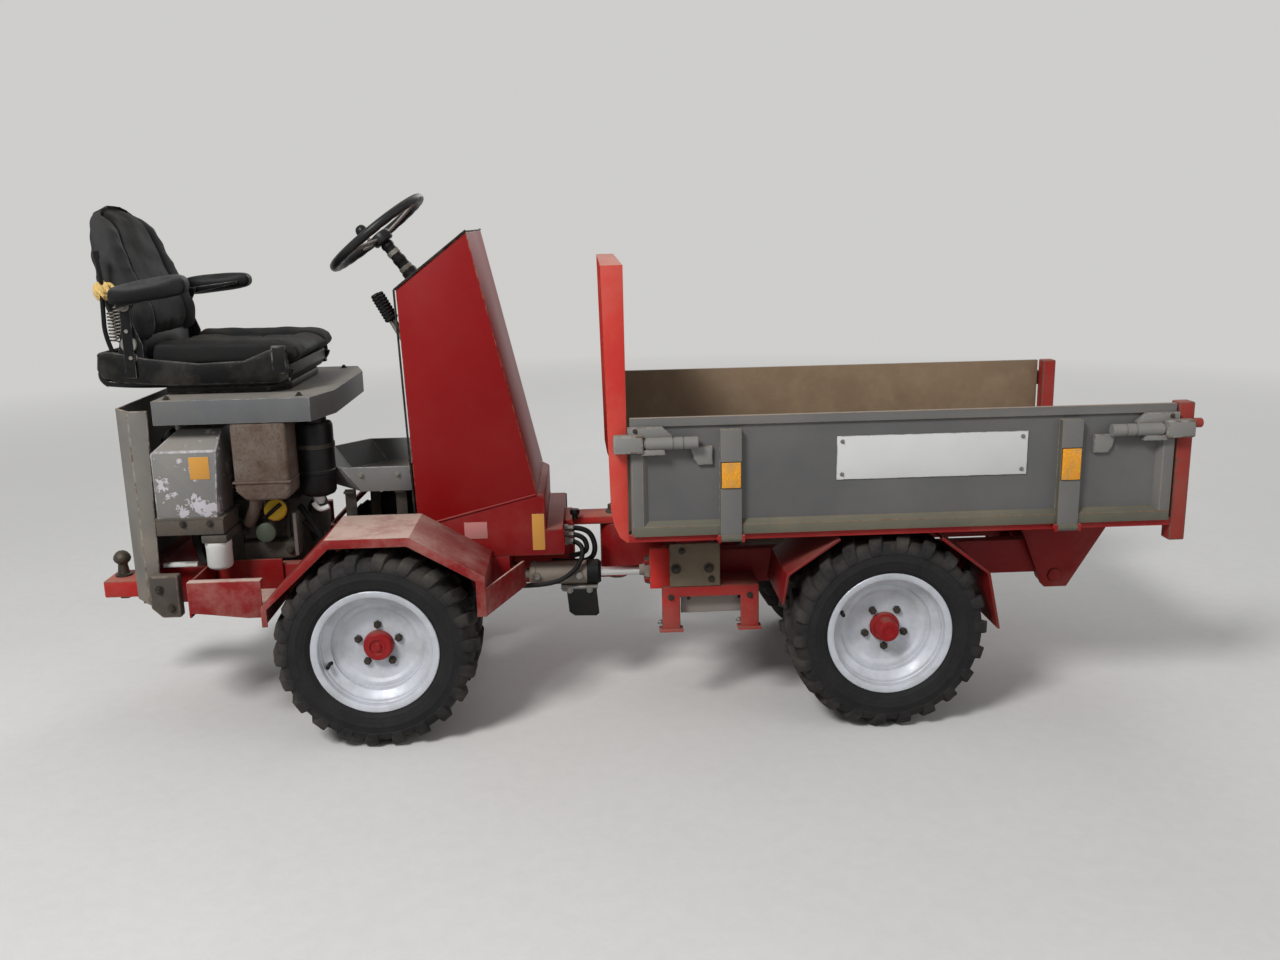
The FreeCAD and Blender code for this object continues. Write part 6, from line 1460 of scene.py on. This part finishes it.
STEER_FOOT, STEER_EYE = (-0.282, -0.150, 0.372), (0.090, -0.150, 0.372)
steering_ram = ram("steering_ram_barrel", "steer_barrel", STEER_FOOT, (1, 0, 0), (0, 0, 1), 0.232, 0.036, 0.026,
                   0.014, (0.050, 0.170))
steering_ram.add(plate(((-0.166, 0.336), (-0.060, 0.336), (-0.060, 0.330), (-0.066, 0.322), (-0.160, 0.322),
                        (-0.166, 0.330)), "y", -0.178, -0.122, 0.0015), GREY)
steering_ram.add(plate(((-0.150, 0.330), (-0.064, 0.330), (-0.058, 0.256), (-0.066, 0.248), (-0.128, 0.250),
                        (-0.144, 0.262)), "y", -0.182, -0.177, 0.0015), HOSE_RUBBER)
steering_ram.add(bolts([(-0.140, -0.1822, 0.326), (-0.084, -0.1822, 0.326)], (0, -1, 0), 0.7), STEEL)
steering_ram.done("steer_cylinder")
ram_rod("steering_ram_rod", "steer_piston", STEER_EYE, (1, 0, 0), (0, 0, 1), 0.245, 0.014).done("steer_rod")


# Load half's frame: rails each side of the tipping cylinder, cross members, bosses for the tipping
# shaft, and plates bent round the front wheels.
ARCH_RED = worn_paint("shaded_arch_red", "red_paint", tone(104, 8, 11), tone(126, 24, 24),
                      tone(76, 54, 46), tone(128, 104, 92), dust=0.7, chips=0.05, gloss=0.45, low=0.36)
load_frame = Assembly("load_frame_rails", "front_chassis").take("front_frame", RED, 0.003)
for head in pin_heads((((0.090, -0.150, 0.403), 1), ((0.090, -0.150, 0.341), -1)), (0, 0, 1)):
    load_frame.add(head, PIN_STEEL)
for head in pin_heads((((0.330, 0.031, 0.385), 1), ((0.330, -0.031, 0.385), -1)), (0, 1, 0)):
    load_frame.add(head, PIN_STEEL)
load_frame.done()
Assembly("wheel_arch_plates", "front_chassis").take("front_arches", ARCH_RED, 0.002).done()


# Gussets and bolted plates behind the front wheels, with hanger legs on foot flanges and the light
# shields between them. Mud has dried brown on the plates.
MUD_PLATE = worn_paint("mud_brown_plate", "rust_brown", tone(92, 82, 70), tone(114, 102, 86),
                       tone(74, 54, 40), tone(126, 110, 90), dust=0.9, chips=0.09, gloss=0.7, low=0.8)
BELLY = worn_paint("pale_belly_plate", "belly_grey", tone(128, 122, 118), tone(150, 144, 138),
                   tone(96, 86, 76), tone(126, 114, 98), dust=0.7, chips=0.06, gloss=0.55, low=0.5)
LEG_RED = worn_paint("muddy_leg_red", "red_paint", tone(146, 28, 28), tone(166, 54, 48),
                     tone(88, 60, 50), tone(126, 100, 86), dust=0.7, chips=0.08, gloss=0.5, low=0.40)
GUSSET_RED = worn_paint("bright_gusset_red", "red_paint", tone(196, 44, 38), tone(204, 84, 76),
                        tone(104, 62, 50), tone(176, 140, 126), dust=0.6, chips=0.06, gloss=0.45)
GUSSET_CORNER = ((0.150, 0, 0.440), (0.887, 0, 0.463))
Assembly("corner_gussets", "front_chassis").take("front_brackets", GUSSET_RED, 0.004,
                                                 trims=[GUSSET_CORNER]).done()
plates = Assembly("bolted_side_plates", "front_chassis").take("side_plates", MUD_PLATE, 0.003)
plates.add(bolts([(0.1534, -0.3342, 0.428), (0.2436, -0.3342, 0.428)], (0, -1, 0), 1.15), DARK_STEEL, both=True)
plates.add(bolts([(0.170, -0.3342, 0.478), (0.250, -0.3342, 0.396)], (0, -1, 0), 0.8), DARK_STEEL, both=True)
plates.done()
legs = Assembly("hanger_legs", "front_chassis").take("hangers", LEG_RED, 0.003)
for x in (0.139, 0.356):
    legs.add(block((x - 0.033, -0.337, 0.246), (x + 0.033, -0.300, 0.254), 0.002), LEG_RED, both=True)
    legs.add(bolts([(x, -0.3305, 0.345)], (0, -1, 0), 0.7), DARK_STEEL, both=True)
    legs.add(bolts([(x - 0.0285, -0.3185, 0.268)], (0, 0, 1), 0.8), STEEL, both=True)
legs.done()
shields = Assembly("belly_shields", "front_chassis").take("belly_plates", BELLY, 0.0015)
shields.add(bolts([(0.190, -0.2905, 0.330), (0.330, -0.2905, 0.330)], (0, -1, 0), 0.7), DARK_STEEL, both=True)
shields.done()


# Axles: cast tubes with round reduction housings, bolted wheel flanges and saddles under the rails.
AXLE_DUST = worn_paint("dusty_axle_casting", "dusty_steel", tone(58, 54, 50), tone(84, 78, 70),
                       tone(60, 44, 34), tone(122, 108, 90), dust=0.9, chips=0.06, gloss=0.7, low=0.55)
for name, node_name, body, x in (("driven_rear_axle", "rear_axle", "rear_chassis", -0.648),
                                 ("driven_front_axle", "front_axle", "front_chassis", 0.712)):
    axle = Assembly(name, body).take(node_name, AXLE_DUST, 0.004)
    ring_spots = [(x + 0.078 * math.cos(step * math.pi / 4), -0.0755, 0.268 + 0.078 * math.sin(step * math.pi / 4))
                  for step in range(8)]
    axle.add(bolts(ring_spots, (0, -1, 0), 0.7), DARK_STEEL, both=True)
    axle.done()


# Tipping gear: the lift cylinder between the rails, and the triangular plates that hang the bed on
# its shaft near the load end.
TIP_FOOT, TIP_EYE = Vector((0.330, 0, 0.385)), Vector((0.830, 0, 0.470))
TIP_WAY = (TIP_EYE - TIP_FOOT).normalized()
ram("tipping_ram_barrel", "tip_barrel", TIP_FOOT, TIP_WAY, (0, 1, 0), 0.400, 0.034, 0.042, 0.018,
    (0.066, 0.340)).done("tip_cylinder")
ram_rod("tipping_ram_rod", "tip_piston", TIP_EYE, TIP_WAY, (0, 1, 0), 0.4472, 0.018).done("tip_rod")
hinges = Assembly("tipping_hinge_plates", "bed").take("bed_hinge_plates", RED, 0.003)
hinges.done()


# Bed: floor sheet on rails and joists, all welded. Loads have scoured the floor to dull steel; the
# rails keep a brighter red, and the drop sides' pins run in small lugs along them.
SCOURED = worn_paint("scoured_bed_steel", "dusty_steel", tone(122, 110, 96), tone(142, 130, 114),
                     tone(106, 72, 50), tone(150, 134, 112), dust=0.5, chips=0.14, gloss=0.55)
RAIL_RED = worn_paint("scuffed_rail_red", "red_paint", tone(136, 22, 22), tone(156, 48, 44),
                      tone(92, 62, 52), tone(150, 124, 108), dust=0.6, chips=0.08, gloss=0.46)
bed = Assembly("bed_floor_frame", "bed").take("bed_floor", RAIL_RED, 0.0015,
                                              [(lambda spot, facing: spot.z > 0.5655, SCOURED)])
bed.done()


# Headboard and posts: a tall folded panel between driver and load, and red posts at the open end.
# The paint is sun-faded; the load side is scratched through to steel.
HEAD_RED = worn_paint("sun_faded_head_red", "red_paint", tone(178, 46, 38), tone(200, 88, 74),
                      tone(104, 74, 62), tone(176, 150, 132), dust=0.6, chips=0.07, gloss=0.46)
POST_RED = worn_paint("rusty_post_red", "red_paint", tone(140, 38, 33), tone(122, 76, 64),
                      tone(92, 72, 60), tone(140, 118, 102), dust=0.6, chips=0.16, gloss=0.55)
# Planes that round the foot's rear corner: a spot on each, then the way that is cut off
HEAD_FOOT = (((-0.0195, 0, 0.625), (-0.986, 0, -0.164)), ((-0.014, 0, 0.592), (-0.916, 0, -0.401)),
             ((0.000, 0, 0.560), (-0.640, 0, -0.768)))
load_face = lambda spot, facing: facing.x > 0.9 and spot.x > 0.02
head_panel = Assembly("folded_headboard", "bed").take("headboard", HEAD_RED, 0.004, [(load_face, SCOURED)],
                                                      merge=False, trims=HEAD_FOOT)
head_panel.done()
end_posts = Assembly("end_posts", "bed").take("corner_posts", POST_RED, 0.004)
end_posts.done()


# Drop sides: pressed sheet in a frame under a rusty crest, hung on two straps that carry amber
# reflectors. A blank white plate sits on the right one. Wing latches hold them to the posts.
BOARD_GREY = worn_paint("scratched_board_grey", "grey_paint", tone(86, 85, 85), tone(104, 103, 101),
                        tone(168, 166, 166), tone(128, 118, 104), dust=0.5, chips=0.055, gloss=0.45)
FRAME_GREY = worn_paint("board_frame_grey", "grey_paint", tone(98, 97, 95), tone(118, 116, 112),
                        tone(140, 118, 100), tone(134, 122, 106), dust=0.5, chips=0.07, gloss=0.5)
CREST_RUST = worn_paint("rusty_crest_paint", "grey_paint", tone(124, 113, 104), tone(140, 127, 116),
                        tone(110, 70, 50), tone(148, 132, 116), dust=0.6, chips=0.2, gloss=0.6)
PLATE_WHITE = worn_paint("blank_white_plate", "filter_white", tone(196, 196, 194), tone(182, 181, 178),
                         tone(120, 116, 110), tone(150, 142, 130), dust=0.3, chips=0.02, gloss=0.3)
LATCH_GREY = worn_paint("zinc_grey_latch", "dusty_steel", tone(112, 111, 108), tone(136, 134, 130),
                        tone(92, 74, 60), tone(138, 126, 110), dust=0.5, chips=0.08, gloss=0.45)


def reflector_finish():
    paint = Finish("amber_reflector", "filter_white")
    prisms = paint.cells(260.0)
    fine = paint.noise(30.0, 4.0)
    colour = paint.mix(tone(206, 126, 6), tone(224, 160, 36), prisms)
    colour = paint.mix(colour, tone(150, 124, 84), fine.over(0.56, 0.2) * 0.5)
    return paint.set(Base_Color=colour, Roughness=0.22 + fine * 0.2, Normal=paint.bump(prisms, 0.001, 0.6))


AMBER = reflector_finish()
INNER_TAN = worn_paint("earth_stained_board", "grey_paint", tone(122, 102, 82), tone(146, 126, 102),
                       tone(96, 66, 44), tone(150, 132, 108), dust=0.6, chips=0.12, gloss=0.75, film_share=0.4)
EDGE_DIRT = worn_paint("grimy_bottom_rail", "grey_paint", tone(88, 86, 76), tone(106, 100, 86),
                       tone(108, 74, 52), tone(122, 112, 92), dust=0.6, chips=0.10, gloss=0.6, film_share=0.3)


def latch(piece, sign, post, way):
    """A spring latch: a square head over the post, a grooved bar, a wing behind it, a catch below."""
    # Columns: outline of distance along the board and height, then nearest and farthest across
    shapes = (
        (((0, 0.784), (0.076, 0.784), (0.076, 0.830), (0, 0.830)), 0.4725, 0.5045, 0.005),
        (((0.036, 0.820), (0.150, 0.820), (0.150, 0.826), (0.124, 0.848), (0.036, 0.848)), 0.4725, 0.4860, 0.002),
        (((0.074, 0.792), (0.128, 0.792), (0.132, 0.778), (0.070, 0.778)), 0.4740, 0.4980, 0.002),
        (((0.196, 0.794), (0.252, 0.794), (0.252, 0.746), (0.214, 0.746), (0.204, 0.762)), 0.4655, 0.4765, 0.002),
    )
    for outline, near, far, width in shapes:
        spots = [(post + way * along, height) for along, height in outline]
        piece.add(plate(spots, "y", *sorted((sign * near, sign * far)), width), LATCH_GREY)
    bar = [(0.078, 0), (0.078, 0.0125), (0.082, 0.0125)]
    for start, end in ((0.082, 0.150), (0.153, 0.176), (0.179, 0.214)):
        bar += [(start, 0.0148), (start + 0.001, 0.0158), (end - 0.001, 0.0158), (end, 0.0148), (end, 0.0135),
                (end + 0.003, 0.0135)]
    bar[-1] = (0.214, 0)
    piece.add(turned(bar, (post, sign * 0.4885, 0.8065), (way, 0, 0), 24), LATCH_GREY)
    piece.add(bolts([(post + way * 0.056, sign * 0.4860, 0.839)], (0, sign, 0), 0.5), DARK_STEEL)


for side, sign in (("right", -1), ("left", 1)):
    board = Assembly("drop_side_" + side, "side_" + side)
    inner = lambda spot, facing: facing.y * sign < -0.5 and abs(spot.y) < 0.465
    crest = lambda spot, facing: spot.z > 0.846
    flat = lambda spot, facing: (facing.y * sign > 0.9 and abs(spot.y) < 0.4665 and 0.06 < spot.x < 1.41
                                 and 0.587 < spot.z < 0.846)
    foot = lambda spot, facing: spot.z < 0.587
    board.take("side_board_" + side, FRAME_GREY, 0.002,
               [(inner, INNER_TAN), (crest, CREST_RUST), (flat, BOARD_GREY), (foot, EDGE_DIRT)])
    rail = [(sign * across, height) for across, height in
            ((0.464, 0.601), (0.4815, 0.587), (0.4815, 0.5615), (0.464, 0.5615))]
    board.add(plate(rail, "x", 0.0335, 1.4355, 0.0015), EDGE_DIRT)
    for outer, inner_edge in ((0.0335, 1), (1.4355, -1)):
        flank = [(outer + inner_edge * along, sign * across) for along, across in
                 ((0, 0.464), (0, 0.4815), (0.028, 0.4815), (0.043, 0.464))]
        board.add(plate(flank, "z", 0.5872, 0.846, 0.0015), FRAME_GREY)
    for x, low_z, high_z in ((0.286, 0.686, 0.752), (1.164, 0.680, 0.762)):
        backing, lens = sorted((sign * 0.4868, sign * 0.4888)), sorted((sign * 0.4875, sign * 0.4925))
        board.add(block((x - 0.0245, lens[0], low_z), (x + 0.0245, lens[1], high_z), 0.0018), AMBER)
        board.add(block((x - 0.0262, backing[0], low_z - 0.002), (x + 0.0262, backing[1], high_z + 0.002), 0.0008),
                  BLACK_PLASTIC)
    if sign < 0:
        board.add(block((0.560, -0.4690, 0.694), (1.056, -0.4655, 0.808), 0.0015), PLATE_WHITE)
        board.add(bolts([(x, -0.4692, z) for x in (0.574, 1.042) for z in (0.708, 0.794)], (0, -1, 0), 0.45),
                  STEEL)
    board.done()
    latches = Assembly("wing_latches_" + side, "side_" + side)
    latch(latches, sign, -0.012, 1)
    latch(latches, sign, 1.478, -1)
    latches.add(pin((1.474, sign * 0.4885, 0.820), (1, 0, 0), 0.024, 0.0125, 0.002), POST_RED)
    latches.done("latches_" + side)
